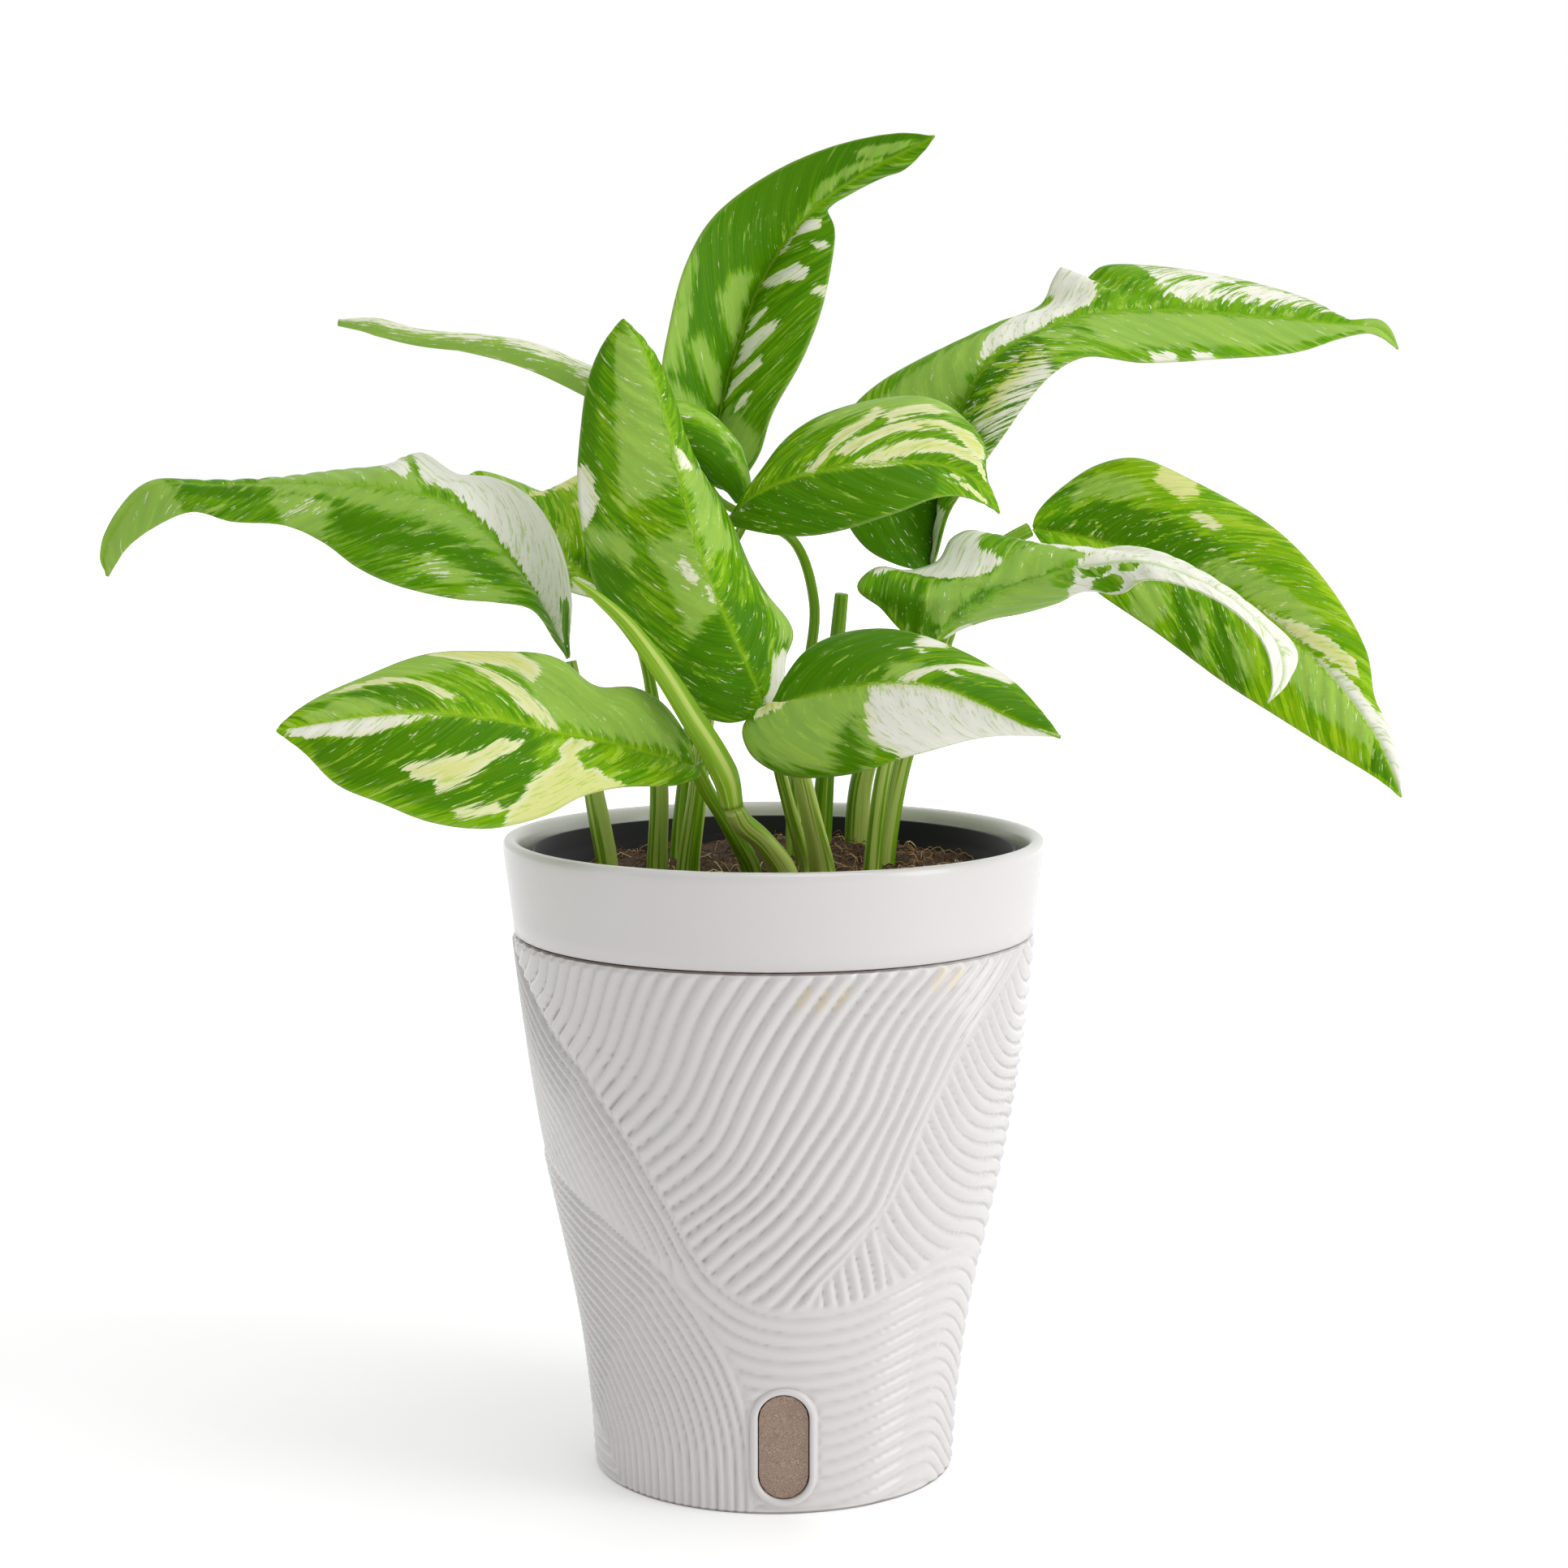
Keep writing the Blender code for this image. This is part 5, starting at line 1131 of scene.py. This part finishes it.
def soil_material():
    look = Look("coir soil")
    place = look.place()
    grain = look.noise(place, 700.0, 4.0, 0.7)
    clump = look.noise(place, 160.0, 3.0)
    colour = look.mix(look.ramp(grain, 0.35, 0.68), SOIL_DARK, SOIL_BROWN)
    colour = look.mix(look.ramp(clump, 0.45, 0.7, 0.0, 0.6), colour, SOIL_CLUMP)
    colour = look.mix(look.ramp(grain, 0.7, 0.76, 0.0, 0.8), colour, SOIL_CRUMB)
    look.bump(grain, 0.8, 0.8)
    return look.finish(Base_Color=colour, Roughness=0.85)


def blade_paint(name, along, across, length, half_width):
    """White, yellow, pale and dark amounts at each point of a blade, and how mottled it is."""
    mottle, pale, dark, yellow = BLADE_TONES[name]
    flat = np.stack([along.ravel() * length, across.ravel() * half_width], axis=1)
    amounts = {"white": 0.0, "yellow": yellow, "pale": pale, "dark": dark, "fleck": 0.0}
    amounts = {kind: np.full(len(flat), level) for kind, level in amounts.items()}
    for kind, outline in MARKS[name]:
        scaled = [(f * length, a * half_width * (MARGIN_REACH if abs(a) == 1 else 1.0))
                  for f, a in outline]
        softness = PAINT_SOFTNESS if kind in SHARP_KINDS else SHADE_SOFTNESS
        amount = np.clip(0.5 + inside_distance(flat, scaled) / (2 * softness), 0.0, 1.0)
        for target, share in RAISES[kind].items():
            amounts[target] = np.maximum(amounts[target], share * amount)
        for target, share in LOWERS.get(kind, {}).items():
            amounts[target] = np.minimum(amounts[target], 1 - share * amount)
    paint = np.stack([amounts[k] for k in ("white", "yellow", "pale", "dark")], axis=1)
    return paint, mottle + (1 - mottle) * amounts["fleck"]


def make_blade(name, leaf, seed, materials):
    points, along, across, reach, length = blade_points(leaf)
    far = np.abs(reach)
    half_width = float(np.quantile(far[:, [0, -1]], WIDTH_SHARE))
    vein = along * length - VEIN_SLANT * far * (0.5 + 0.5 * np.abs(across))
    side = np.where(across < 0, -1.0, 1.0)
    right = unit(np.gradient(points, axis=1))
    ahead = unit(np.gradient(points, axis=0))
    up = unit(np.cross(right, ahead))
    inner = np.clip(far / VEIN_FADE, 0, 1) * np.clip((1 - np.abs(across)) * 4, 0, 1)
    ripple = np.cos(2 * np.pi * (vein / VEIN_SPACING + 0.35 * (side > 0)))
    rise = -VEIN_RIDGE * inner * np.sign(ripple) * np.abs(ripple) ** VEIN_SHARPNESS
    rise = rise - GROOVE_DEPTH * np.exp(-(reach / GROOVE_WIDTH) ** 2)
    waves = EDGE_WAVES + 0.4 * (seed % 3)
    wave = np.sin(2 * np.pi * (along * waves + 0.17 * seed + 0.25 * side))
    rise = rise + EDGE_WAVE * wave * np.abs(across) ** 3 * np.sin(np.pi * along)
    points = points + up * rise[:, :, None]
    mesh = grid_mesh("fine_" + name, points, materials)
    shift = np.full(reach.shape, NOISE_STEP * seed) + SIDE_STEP * side
    put_attribute(mesh, "vein", np.stack([vein, far, shift], axis=-1))
    paint, mottle = blade_paint(name, along, across, length, half_width)
    put_attribute(mesh, "paint", paint)
    rib = np.exp(-(reach / RIB_PAINT_WIDTH) ** 2)
    edge = np.clip((np.abs(across) - EDGE_PAINT_START) / EDGE_PAINT_WIDTH, 0, 1)
    tone = np.stack([mottle.reshape(reach.shape), rib, 0.5 + 0.5 * ripple, edge], axis=-1)
    put_attribute(mesh, "tone", tone)
    thicken(add_piece("fine_" + name, mesh, [name]), BLADE_THICKNESS)


def tube_points(line, radii):
    """Rings of points round a line, with a lengthwise channel on the upper side."""
    ahead = unit(np.gradient(line, axis=0))
    ups = []
    up = unit(np.cross(np.cross(ahead[0], (0.3, -1.0, 0.2)), ahead[0]))
    for direction in ahead:
        up = unit(up - direction * (up @ direction))
        ups.append(up)
    ups = np.array(ups)
    across = np.cross(ahead, ups)
    angle = np.linspace(0, 2 * np.pi, STALK_SIDES, endpoint=False)
    shape = 1 - STALK_CHANNEL * np.exp(-(np.sin(angle / 2) / STALK_CHANNEL_WIDTH) ** 2)
    ring = ups[:, None] * np.cos(angle)[None, :, None] + across[:, None] * np.sin(angle)[None, :, None]
    return line[:, None] + ring * (radii[:, None] * shape[None, :])[:, :, None], angle


def capped(rings):
    """The rings with both ends drawn in to a point."""
    first, last = [np.repeat(ring.mean(axis=1, keepdims=True), rings.shape[1], axis=1)
                   for ring in (rings[:1], rings[-1:])]
    return np.concatenate([first, rings, last])


def leaf_base(name):
    """Where a leaf starts, or None when there is no such leaf."""
    lines = {"leaf_rolled": ROLLED_LINE, "leaf_spear": SPEAR_LINE}
    if name in LEAVES:
        lines[name] = LEAVES[name]["rib"]
    return placed(name, lines[name])[0] if name in lines else None


def stalk_line(name, route, gap, count):
    """The stalk's points from its foot in the soil up, ending just short of its leaf."""
    x, y, _height = seen(*route[0])
    points = [(x, y, SOIL_TOP - STEM_DEPTH), (x, y, SOIL_TOP - STEM_DEPTH / 3),
              (x, y, SOIL_TOP + STEM_DEPTH / 4)] + [seen(*spot) for spot in route[1:]]
    base = leaf_base(name.replace("stalk", "leaf"))
    if base is not None:
        back = points[-1] - base
        points.append(base + back * gap / np.linalg.norm(back))
    return smooth_line(points, np.linspace(0, 1, count))


def strand_piece(name, line, radii, paint, material, seed):
    """A stalk-like piece with numbers round and along it for its stripes."""
    points, angle = tube_points(line, radii)
    points = capped(points)
    mesh = grid_mesh("fine_" + name, points, [material], closed=True)
    rows = len(points)
    walked = running_total(step_lengths(line))
    walked = np.concatenate([[walked[0]], walked, [walked[-1]]])
    mean = float(np.mean(radii))
    strand = np.stack([mean * np.cos(angle), mean * np.sin(angle)], axis=1)
    values = np.zeros((rows, STALK_SIDES, 3))
    values[:, :, 0] = strand[None, :, 0] + STALK_SLANT * strand[None, :, 1]
    values[:, :, 1] = walked[:, None]
    values[:, :, 2] = STALK_NOISE_STEP * seed + 0.8 * np.sin(angle)[None, :]
    put_attribute(mesh, "vein", values)
    put_attribute(mesh, "paint", np.tile(paint, (rows * STALK_SIDES, 1)))
    add_piece("fine_" + name, mesh, [name])


def make_stalks(material):
    for seed, (name, (route, foot, head, gap)) in enumerate(STALKS.items()):
        white, pale = STALK_STRIPES[name]
        line = stalk_line(name, route, gap, STALK_ROWS)
        swell = 1 + STALK_SWELL * np.sin(np.linspace(0, STALK_SWELL_END, STALK_ROWS) + seed)
        radii = np.linspace(foot, head, STALK_ROWS) * swell
        strand_piece(name, line, radii, (white, STALK_YELLOW, pale, 0.0), material, seed)


def make_spear(material):
    share = np.linspace(0, 1, STALK_ROWS)
    line = smooth_line(placed("leaf_spear", SPEAR_LINE), share)
    radii = spread(SPEAR_RADII, share)
    strand_piece("leaf_spear", line, radii, SPEAR_PAINT, material, SPEAR_SEED)


def make_rolled_leaf(materials):
    """The leaf rolled round its middle line into a horn that is open below."""
    share = np.linspace(0, 1, ROLLED_ROWS)
    line = smooth_line(placed("leaf_rolled", ROLLED_LINE), share)
    radii = spread(ROLLED_RADII, share)
    ahead = unit(np.gradient(line, axis=0))
    side = unit(np.cross(ahead, np.array([[0.0, 0.0, 1.0]])))
    up = unit(np.cross(side, ahead))
    turn = ROLLED_TURN * (np.linspace(0, 1, ROLLED_COLUMNS) - 0.5)
    ring = (up[:, None] * np.cos(turn)[None, :, None] + side[:, None] * np.sin(turn)[None, :, None])
    points = line[:, None] + ring * radii[:, None, None]
    mesh = grid_mesh("fine_leaf_rolled", points, materials)
    along = np.broadcast_to(share[:, None] * step_lengths(line).sum(), points.shape[:2])
    around = np.broadcast_to(turn[None, :] * ROLLED_VEIN_REACH, points.shape[:2])
    shift = np.full(along.shape, ROLLED_NOISE)
    put_attribute(mesh, "vein", np.stack([around + ROLLED_SLANT * along, along, shift], axis=-1))
    # The paint grows whiter and paler towards the horn's upper side, a painted sheen, and darker on the
    # lower side of its wide part near the base, painted shade
    top = smooth_step(0.5 + 0.9 * np.cos(turn - 0.3))[None, :] * np.ones((ROLLED_ROWS, 1))
    hood = smooth_step((share - ROLLED_HOOD_START) / ROLLED_HOOD_REACH)[:, None]
    white = 0.25 + 0.35 * hood * top
    pale = np.clip(0.15 + 0.75 * hood + 0.35 * top, 0, 1)
    dark = np.clip((1 - hood) * (1.1 - top), 0, 1)
    yellow = np.full(white.shape, ROLLED_YELLOW)
    put_attribute(mesh, "paint", np.stack([white, yellow, pale, dark], axis=-1))
    tone = np.zeros((*white.shape, 4))
    tone[:, :, 0] = ROLLED_MOTTLE
    put_attribute(mesh, "tone", tone)
    thicken(add_piece("fine_leaf_rolled", mesh, ["leaf_rolled"]), BLADE_THICKNESS)


def rib_count_field(valleys, angle, height):
    """A smooth rib count over the wall, bent through the valleys that were read."""
    known = np.array([(a * ARC, h, count) for count, spots in valleys for a, h in spots], float)

    def kernel(first, second):
        away = np.hypot(first[:, None, 0] - second[None, :, 0], first[:, None, 1] - second[None, :, 1])
        return away ** 2 * np.log(np.maximum(away, 1e-6))

    def flat_terms(spots):
        return np.column_stack([np.ones(len(spots)), spots[:, 0], spots[:, 1]])

    size = len(known)
    system = np.zeros((size + 3, size + 3))
    system[:size, :size] = kernel(known, known) + RIB_EASE * np.eye(size)
    system[:size, size:] = flat_terms(known)
    system[size:, :size] = flat_terms(known).T
    weights = np.linalg.solve(system, np.append(known[:, 2], np.zeros(3)))
    spots = np.column_stack([angle * ARC, height])
    return kernel(spots, known) @ weights[:size] + flat_terms(spots) @ weights[size:]


def crest(count):
    """A rounded crest for each whole rib, with a narrower valley between."""
    return 2 * np.abs(np.cos(np.pi * count)) ** CREST_SHAPE - 1


def straight_radius(height):
    """Outer radius of the pot, straight between the heights that were read."""
    radii, heights = zip(*OUTER_SHAPE)
    return np.interp(height, heights, radii)


def window_distance(angle, height):
    """Distance from the window's outline over the wall, negative inside it."""
    x = straight_radius(height) * np.sin(np.radians(angle)) - WINDOW_X
    reach = (WINDOW_HIGH - WINDOW_LOW - WINDOW_WIDTH) / 2
    above = np.maximum(np.abs(height - (WINDOW_HIGH + WINDOW_LOW) / 2) - reach, 0.0)
    away = np.hypot(x, above) - WINDOW_WIDTH / 2
    return np.where(np.abs(angle) < 90, away, FAR_AWAY)


def wall_relief(angle, height):
    """Height of the raked waves over the wall, angles in degrees from the front."""
    folded = np.where(np.abs(angle) > 90, np.sign(angle) * 180 - angle, angle)
    flat = np.stack([folded.ravel() * ARC, height.ravel()], axis=1)
    a, h = flat[:, 0] / ARC, flat[:, 1]

    def field(outline):
        return inside_distance(flat, [(p * ARC, q) for p, q in outline])

    over_left, over_right = (LOBE_LEFT[0][0], PAST_TOP), (LOBE_RIGHT[-1][0], PAST_TOP)
    lobe = field(LOBE_LEFT + LOBE_RIGHT + [over_right, over_left])
    wedge = field(LOBE_RIGHT[:4] + WEDGE_EDGE[::-1] + BAND_TOP[2::-1])
    right = field(LOBE_RIGHT[4:] + [over_right, (PAST_SIDE, PAST_TOP)] + BAND_TOP[:2:-1] + WEDGE_EDGE)
    around = field(LOBE_LEFT + BAND_TOP + [(PAST_SIDE, PAST_FOOT)] + LEFT_FOOT[::-1]
                   + LEFT_SHOULDER + [(-PAST_SIDE, PAST_TOP), over_left])
    foot = field(LEFT_FOOT + [(-PAST_SIDE, PAST_FOOT)] + LEFT_SHOULDER[::-1])
    first = field(FOOT_FIRST + FOOT_FAR)

    beside = np.where(a < 0, smooth_step((h - LEFT_FADE_LOW) / LEFT_FADE_REACH), 0.0)
    left_count = 0.5 - (-lobe - LEFT_FIRST) / LEFT_PITCH
    around_count = beside * left_count + (1 - beside) * rib_count_field(BAND_RIBS, a, h)
    left_strength = np.clip(LEFT_STRENGTH + lobe / LEFT_WEAKENING, *LEFT_STRENGTHS)
    around_strength = beside * left_strength + (1 - beside) * BAND_STRENGTH
    lobe_count = rib_count_field(LOBE_RIBS, a, h)
    fields = [
        (lobe, lobe_count, 1.0),
        (wedge, rib_count_field(WEDGE_RIBS, a, h), 1.0),
        (right, rib_count_field(RIGHT_RIBS, a, h), RIGHT_STRENGTH),
        (around, around_count, around_strength),
        (foot, 0.5 + first / FOOT_PITCH, FOOT_STRENGTH),
    ]
    relief = np.zeros(len(a))
    for near, count, strength in fields:
        shape = strength * crest(count) * smooth_step(near / BORDER_FADE)
        relief = np.where(near > 0, shape, relief)
    relief = relief + LOBE_LIFT * smooth_step(lobe / LOBE_LIFT_REACH)
    valley = np.maximum(-crest(lobe_count), 0.0)
    left_of_line = a < PIT_LINE[0] - (h - PIT_LINE[1]) / PIT_LINE_RISE
    pit = np.where(left_of_line, np.exp(-((lobe - PIT_PLACE) / PIT_WIDTH) ** 2), 0.0)
    relief = relief - PIT_DEPTH * valley * pit
    ends = smooth_step((OUTER_TOP - TOP_PLAIN - h) / TOP_FADE) * smooth_step(h / FOOT_FADE)
    clear = smooth_step((window_distance(angle, height).ravel() - WINDOW_PLAIN) / WINDOW_FADE)
    return (WALL_RELIEF * relief * ends * clear).reshape(angle.shape)


def wall_radius(height):
    """Outer radius of the pot, rounded through the heights that were read."""
    table = np.array([(0.0, radius, z) for radius, z in OUTER_SHAPE])
    spots = smooth_line(table, np.linspace(0, 1, WALL_STEPS))
    return np.interp(height, spots[:, 2], spots[:, 1])


def inner_radius(height):
    heights = INNER_HEIGHTS[::-1]
    return np.interp(height, heights, [straight_radius(h) - OUTER_WALL for h in heights])


def ring_points(rows, turn):
    """Rings round the pot's axis, one for each (radius, height), from the front round."""
    return np.stack([np.stack([r * np.sin(turn), -r * np.cos(turn), np.full(len(turn), z)], axis=1)
                     for r, z in rows])


def make_outer_pot(material):
    front = np.linspace(-FRONT_TURN, FRONT_TURN, FRONT_COLUMNS, endpoint=False)
    back = np.linspace(FRONT_TURN, 360 - FRONT_TURN, BACK_COLUMNS, endpoint=False)
    turns = np.concatenate([front, back])
    heights = np.linspace(0.0, OUTER_TOP, POT_ROWS)
    angle = np.where(turns > 180, turns - 360, turns)[None, :] * np.ones((POT_ROWS, 1))
    height = heights[:, None] * np.ones((1, len(turns)))
    radius = wall_radius(height) + wall_relief(angle, height)
    rows = OUTER_UNDERSIDE + list(zip(radius, heights))
    rows += [(inner_radius(h), h) for h in INNER_HEIGHTS] + [(MIDDLE_RADIUS, OUTER_FLOOR)]
    points = ring_points(rows, np.radians(turns))
    mesh = grid_mesh("fine_outer_pot", points, [material], closed=True)
    open_window(mesh)
    add_piece("fine_outer_pot", mesh, ["outer_pot"])


def open_window(mesh):
    """Take the faces of the wall away where the window stands."""
    work = bmesh.new()
    work.from_mesh(mesh)
    gone = []
    for face in work.faces:
        x, y, z = face.calc_center_median() / MM
        angle = math.degrees(math.atan2(x, -y))
        if y < WINDOW_CUT_Y and window_distance(angle, z) < WINDOW_CUT:
            gone.append(face)
    bmesh.ops.delete(work, geom=gone, context="FACES")
    work.to_mesh(mesh)
    work.free()


def window_outline(grow, depth):
    """Points round the window at a distance outside its outline and a depth behind its face."""
    half = WINDOW_WIDTH / 2 + grow
    reach = (WINDOW_HIGH - WINDOW_LOW) / 2 - WINDOW_WIDTH / 2
    middle = (WINDOW_HIGH + WINDOW_LOW) / 2
    points = []
    for first, centre in ((0.0, reach), (math.pi, -reach)):
        for k in range(FRAME_STEPS + 1):
            turn = first + math.pi * k / FRAME_STEPS
            up = centre + half * math.sin(turn)
            back = WINDOW_FACE_Y + depth - (up - reach) * math.tan(WINDOW_TILT)
            points.append((WINDOW_X + half * math.cos(turn), back, middle + up))
    return points


def make_window(frame_look, pane_look):
    rows = np.array([window_outline(grow, depth) for grow, depth in FRAME_PROFILE])
    add_piece("window_frame", grid_mesh("window_frame", rows, [frame_look], closed=True))
    bpy.data.objects["window_pane"].material_slots[0].material = pane_look


def turned(name, profile, sides, material, replaces):
    """A closed (radius, height) outline turned round the pot's axis."""
    points = ring_points(profile + profile[:1], np.linspace(0, 2 * np.pi, sides, endpoint=False))
    add_piece(name, grid_mesh(name, points, [material], closed=True), replaces)


def make_liner(material):
    floor_top = LINER_FLOOR + LINER_WALL

    def body(height):
        return float(inner_radius(height)) - LINER_PLAY

    inside = [(body(h) - LINER_WALL, h) for h in LINER_INSIDE_HEIGHTS]
    floor = [(body(LINER_FLOOR) - 2 * LINER_WALL, floor_top), (WICK_HOLE, floor_top),
             (WICK_HOLE, LINER_FLOOR), (body(LINER_FLOOR) - LINER_WALL, LINER_FLOOR)]
    outside = [(body(h), h) for h in LINER_OUTSIDE_HEIGHTS]
    profile = LINER_BAND + inside + floor + outside
    turned("fine_liner", profile, LINER_SIDES, material, ["liner"])


def make_nursery_pot(material):
    wall = NURSERY_WALL
    profile = [(NURSERY_FLOOR_RADIUS, NURSERY_FLOOR), (NURSERY_TOP_RADIUS, NURSERY_LIP_LOW - 0.3),
               (NURSERY_LIP_RADIUS - 0.3, NURSERY_LIP_LOW), (NURSERY_LIP_RADIUS, NURSERY_LIP_LOW + 0.6),
               (NURSERY_LIP_RADIUS, NURSERY_TOP - 0.7), (NURSERY_LIP_RADIUS - 0.2, NURSERY_TOP - 0.2),
               (NURSERY_LIP_RADIUS - 0.6, NURSERY_TOP),
               (NURSERY_LIP_RADIUS - wall, NURSERY_TOP - 0.3),
               (NURSERY_LIP_RADIUS - wall, NURSERY_LIP_LOW + 2 * wall),
               (NURSERY_TOP_RADIUS - wall, NURSERY_LIP_LOW + wall),
               (NURSERY_FLOOR_RADIUS - wall, NURSERY_FLOOR + wall), (WICK_HOLE, NURSERY_FLOOR + wall),
               (WICK_HOLE, NURSERY_FLOOR)]
    turned("fine_nursery_pot", profile, NURSERY_SIDES, material, ["nursery_pot"])


def soil_level(x, y):
    """Top of the soil at one place: the mound with its lumps, crumbs and grains."""
    away = math.hypot(x - MOUND_PLACE[0], y - MOUND_PLACE[1]) / MOUND_REACH
    level = SOIL_TOP + MOUND_HEIGHT * math.exp(-away * away / 2)
    for size, cut, rise in SOIL_LUMPS:
        level += rise * noise.noise(Vector((x / size, y / size, cut)))
    return level


def make_soil(soil_look):
    angle = np.linspace(0, 2 * np.pi, SOIL_SIDES, endpoint=False)
    rows = []
    for radius, height in ((MIDDLE_RADIUS, SOIL_FOOT), (SOIL_FOOT_RADIUS, SOIL_FOOT),
                           (SOIL_RADIUS, SOIL_EDGE)):
        rows.append([(radius * math.cos(t), radius * math.sin(t), height) for t in angle])
    for radius in np.linspace(SOIL_RADIUS, SOIL_MIDDLE, SOIL_RINGS):
        rows.append([(radius * math.cos(t), radius * math.sin(t),
                      soil_level(radius * math.cos(t), radius * math.sin(t))) for t in angle])
    mesh = grid_mesh("fine_soil", np.array(rows), [soil_look], closed=True)
    add_piece("fine_soil", mesh, ["soil"])


def make_litter(materials):
    """Coir fibres and straw lying on the soil, placed by a seeded draw."""
    draw = random.Random(FIBRE_SEED)
    points, faces, looks = [], [], []
    for k in range(FIBRE_COUNT):
        away = SOIL_RADIUS * math.sqrt(draw.random()) * FIBRE_SPREAD
        turn = draw.uniform(0, 2 * math.pi)
        x, y = away * math.cos(turn), away * math.sin(turn)
        heading = draw.uniform(0, 2 * math.pi)
        reach = draw.uniform(*FIBRE_LENGTHS)
        bend = draw.uniform(-FIBRE_BEND, FIBRE_BEND)
        width = draw.uniform(*FIBRE_WIDTHS)
        lift = draw.uniform(*FIBRE_LIFTS)
        start = len(points)
        for s in range(FIBRE_STEPS):
            part = s / (FIBRE_STEPS - 1)
            if math.hypot(x, y) > SOIL_RADIUS - FIBRE_MARGIN:
                x, y = x * FIBRE_PULL, y * FIBRE_PULL
            z = soil_level(x, y) + FIBRE_BASE + lift * math.sin(math.pi * part)
            around = heading + math.pi / 2
            for c in range(FIBRE_SIDES):
                corner = 2 * math.pi * c / FIBRE_SIDES
                offset = width * math.cos(corner)
                points.append((x + offset * math.cos(around), y + offset * math.sin(around),
                               z + width * math.sin(corner)))
            heading += bend
            step = reach / FIBRE_STEPS
            x, y = x + step * math.cos(heading), y + step * math.sin(heading)
        for s in range(FIBRE_STEPS - 1):
            ring = start + FIBRE_SIDES * s
            for c in range(FIBRE_SIDES):
                a, b = ring + c, ring + (c + 1) % FIBRE_SIDES
                faces.append((a, b, b + FIBRE_SIDES, a + FIBRE_SIDES))
                looks.append(k % 3 if k % 12 else 3)
    mesh = bpy.data.meshes.new("soil_fibres")
    mesh.from_pydata([tuple(c * MM for c in p) for p in points], [], faces)
    for material in materials:
        mesh.materials.append(material)
    mesh.polygons.foreach_set("material_index", looks)
    mesh.shade_smooth()
    add_piece("soil_fibres", mesh)


def add_light(name, place, target, size, power):
    data = bpy.data.lights.new(name, "AREA")
    data.shape = "RECTANGLE"
    data.size, data.size_y = size
    data.energy = power
    light = bpy.data.objects.new(name, data)
    light.location = place
    light.rotation_euler = (Vector(target) - Vector(place)).to_track_quat("-Z", "Y").to_euler()
    bpy.context.scene.collection.objects.link(light)


def add_floor():
    """A pale floor that glows more with the distance, so that it fades into the backdrop."""
    mesh = bpy.data.meshes.new("floor")
    corners = [(-FLOOR_SIDE, FLOOR_NEAR, 0), (FLOOR_SIDE, FLOOR_NEAR, 0),
               (FLOOR_SIDE, FLOOR_FAR, 0), (-FLOOR_SIDE, FLOOR_FAR, 0)]
    mesh.from_pydata(corners, [], [(0, 1, 2, 3)])
    look = Look("pale floor")
    depth = look.add("ShaderNodeSeparateXYZ", {0: look.place()}).outputs[1]
    glow = look.ramp(depth, GLOW_START, GLOW_END, GLOW_LOW, GLOW_HIGH)
    look.finish(Base_Color=FLOOR_WHITE, Roughness=0.6, Emission_Color=(1.0, 1.0, 1.0),
                Emission_Strength=glow)
    mesh.materials.append(look.material)
    floor = bpy.data.objects.new("floor", mesh)
    bpy.context.scene.collection.objects.link(floor)


def add_world():
    """Soft light all round, dimmer from the left, and white behind the part."""
    world = bpy.data.worlds.new("studio")
    nodes = Nodes(world)
    towards = nodes.add("ShaderNodeTexCoord", {}).outputs["Generated"]
    right, back, up = nodes.add("ShaderNodeSeparateXYZ", {0: towards}).outputs
    above = nodes.ramp(up, *OVERHEAD, 0.0, ROOM_ABOVE)
    room = nodes.math("ADD", nodes.ramp(right, *SIDEWAYS, ROOM_LEFT, ROOM_RIGHT), above)
    behind = nodes.ramp(back, *BACKWARDS)
    lift = nodes.math("MULTIPLY", behind, nodes.math("SUBTRACT", 1.0, room))
    backdrop = nodes.tree.nodes["Background"]
    backdrop.inputs["Color"].default_value = (1.0, 1.0, 1.0, 1.0)
    nodes.feed(backdrop.inputs["Strength"], nodes.math("ADD", room, lift))
    bpy.context.scene.world = world


def add_camera():
    data = bpy.data.cameras.new("camera")
    data.lens = SENSOR * SIGHT_REACH / (2 * SIGHT_MIDDLE)
    data.sensor_width = SENSOR
    data.clip_start = 0.05
    camera = bpy.data.objects.new("camera", data)
    camera.location = Vector(SIGHT_FROM) * MM
    camera.rotation_euler = (math.radians(90) - SIGHT_TILT, 0, 0)
    bpy.context.scene.collection.objects.link(camera)
    bpy.context.scene.camera = camera


def main():
    add_camera()
    add_floor()
    add_world()
    for light in LIGHTS:
        add_light(*light)
    bpy.context.scene.view_settings.view_transform = "Standard"
    leaf_looks = [leaf_material("leaf upper side", False), leaf_material("leaf underside", True)]
    for seed, (name, lines) in enumerate(LEAVES.items()):
        leaf = {rail: placed(name, line) for rail, line in lines.items()}
        make_blade(name, leaf, seed, leaf_looks)
    make_rolled_leaf(leaf_looks)
    stalk_look = stalk_material()
    make_stalks(stalk_look)
    make_spear(stalk_look)
    wall_look = wall_material("waved wall", False)
    make_outer_pot(wall_look)
    make_window(wall_look, pane_material())
    make_liner(wall_material("rim band", True))
    make_nursery_pot(Look("black nursery pot").finish(
        Base_Color=NURSERY_BLACK, Roughness=0.5, Specular_IOR_Level=0.15))
    make_soil(soil_material())
    make_litter([plain_material(*fibre) for fibre in FIBRES])
    bpy.data.objects["wick"].material_slots[0].material = plain_material("wick felt", WICK_FELT, 0.9)


main()
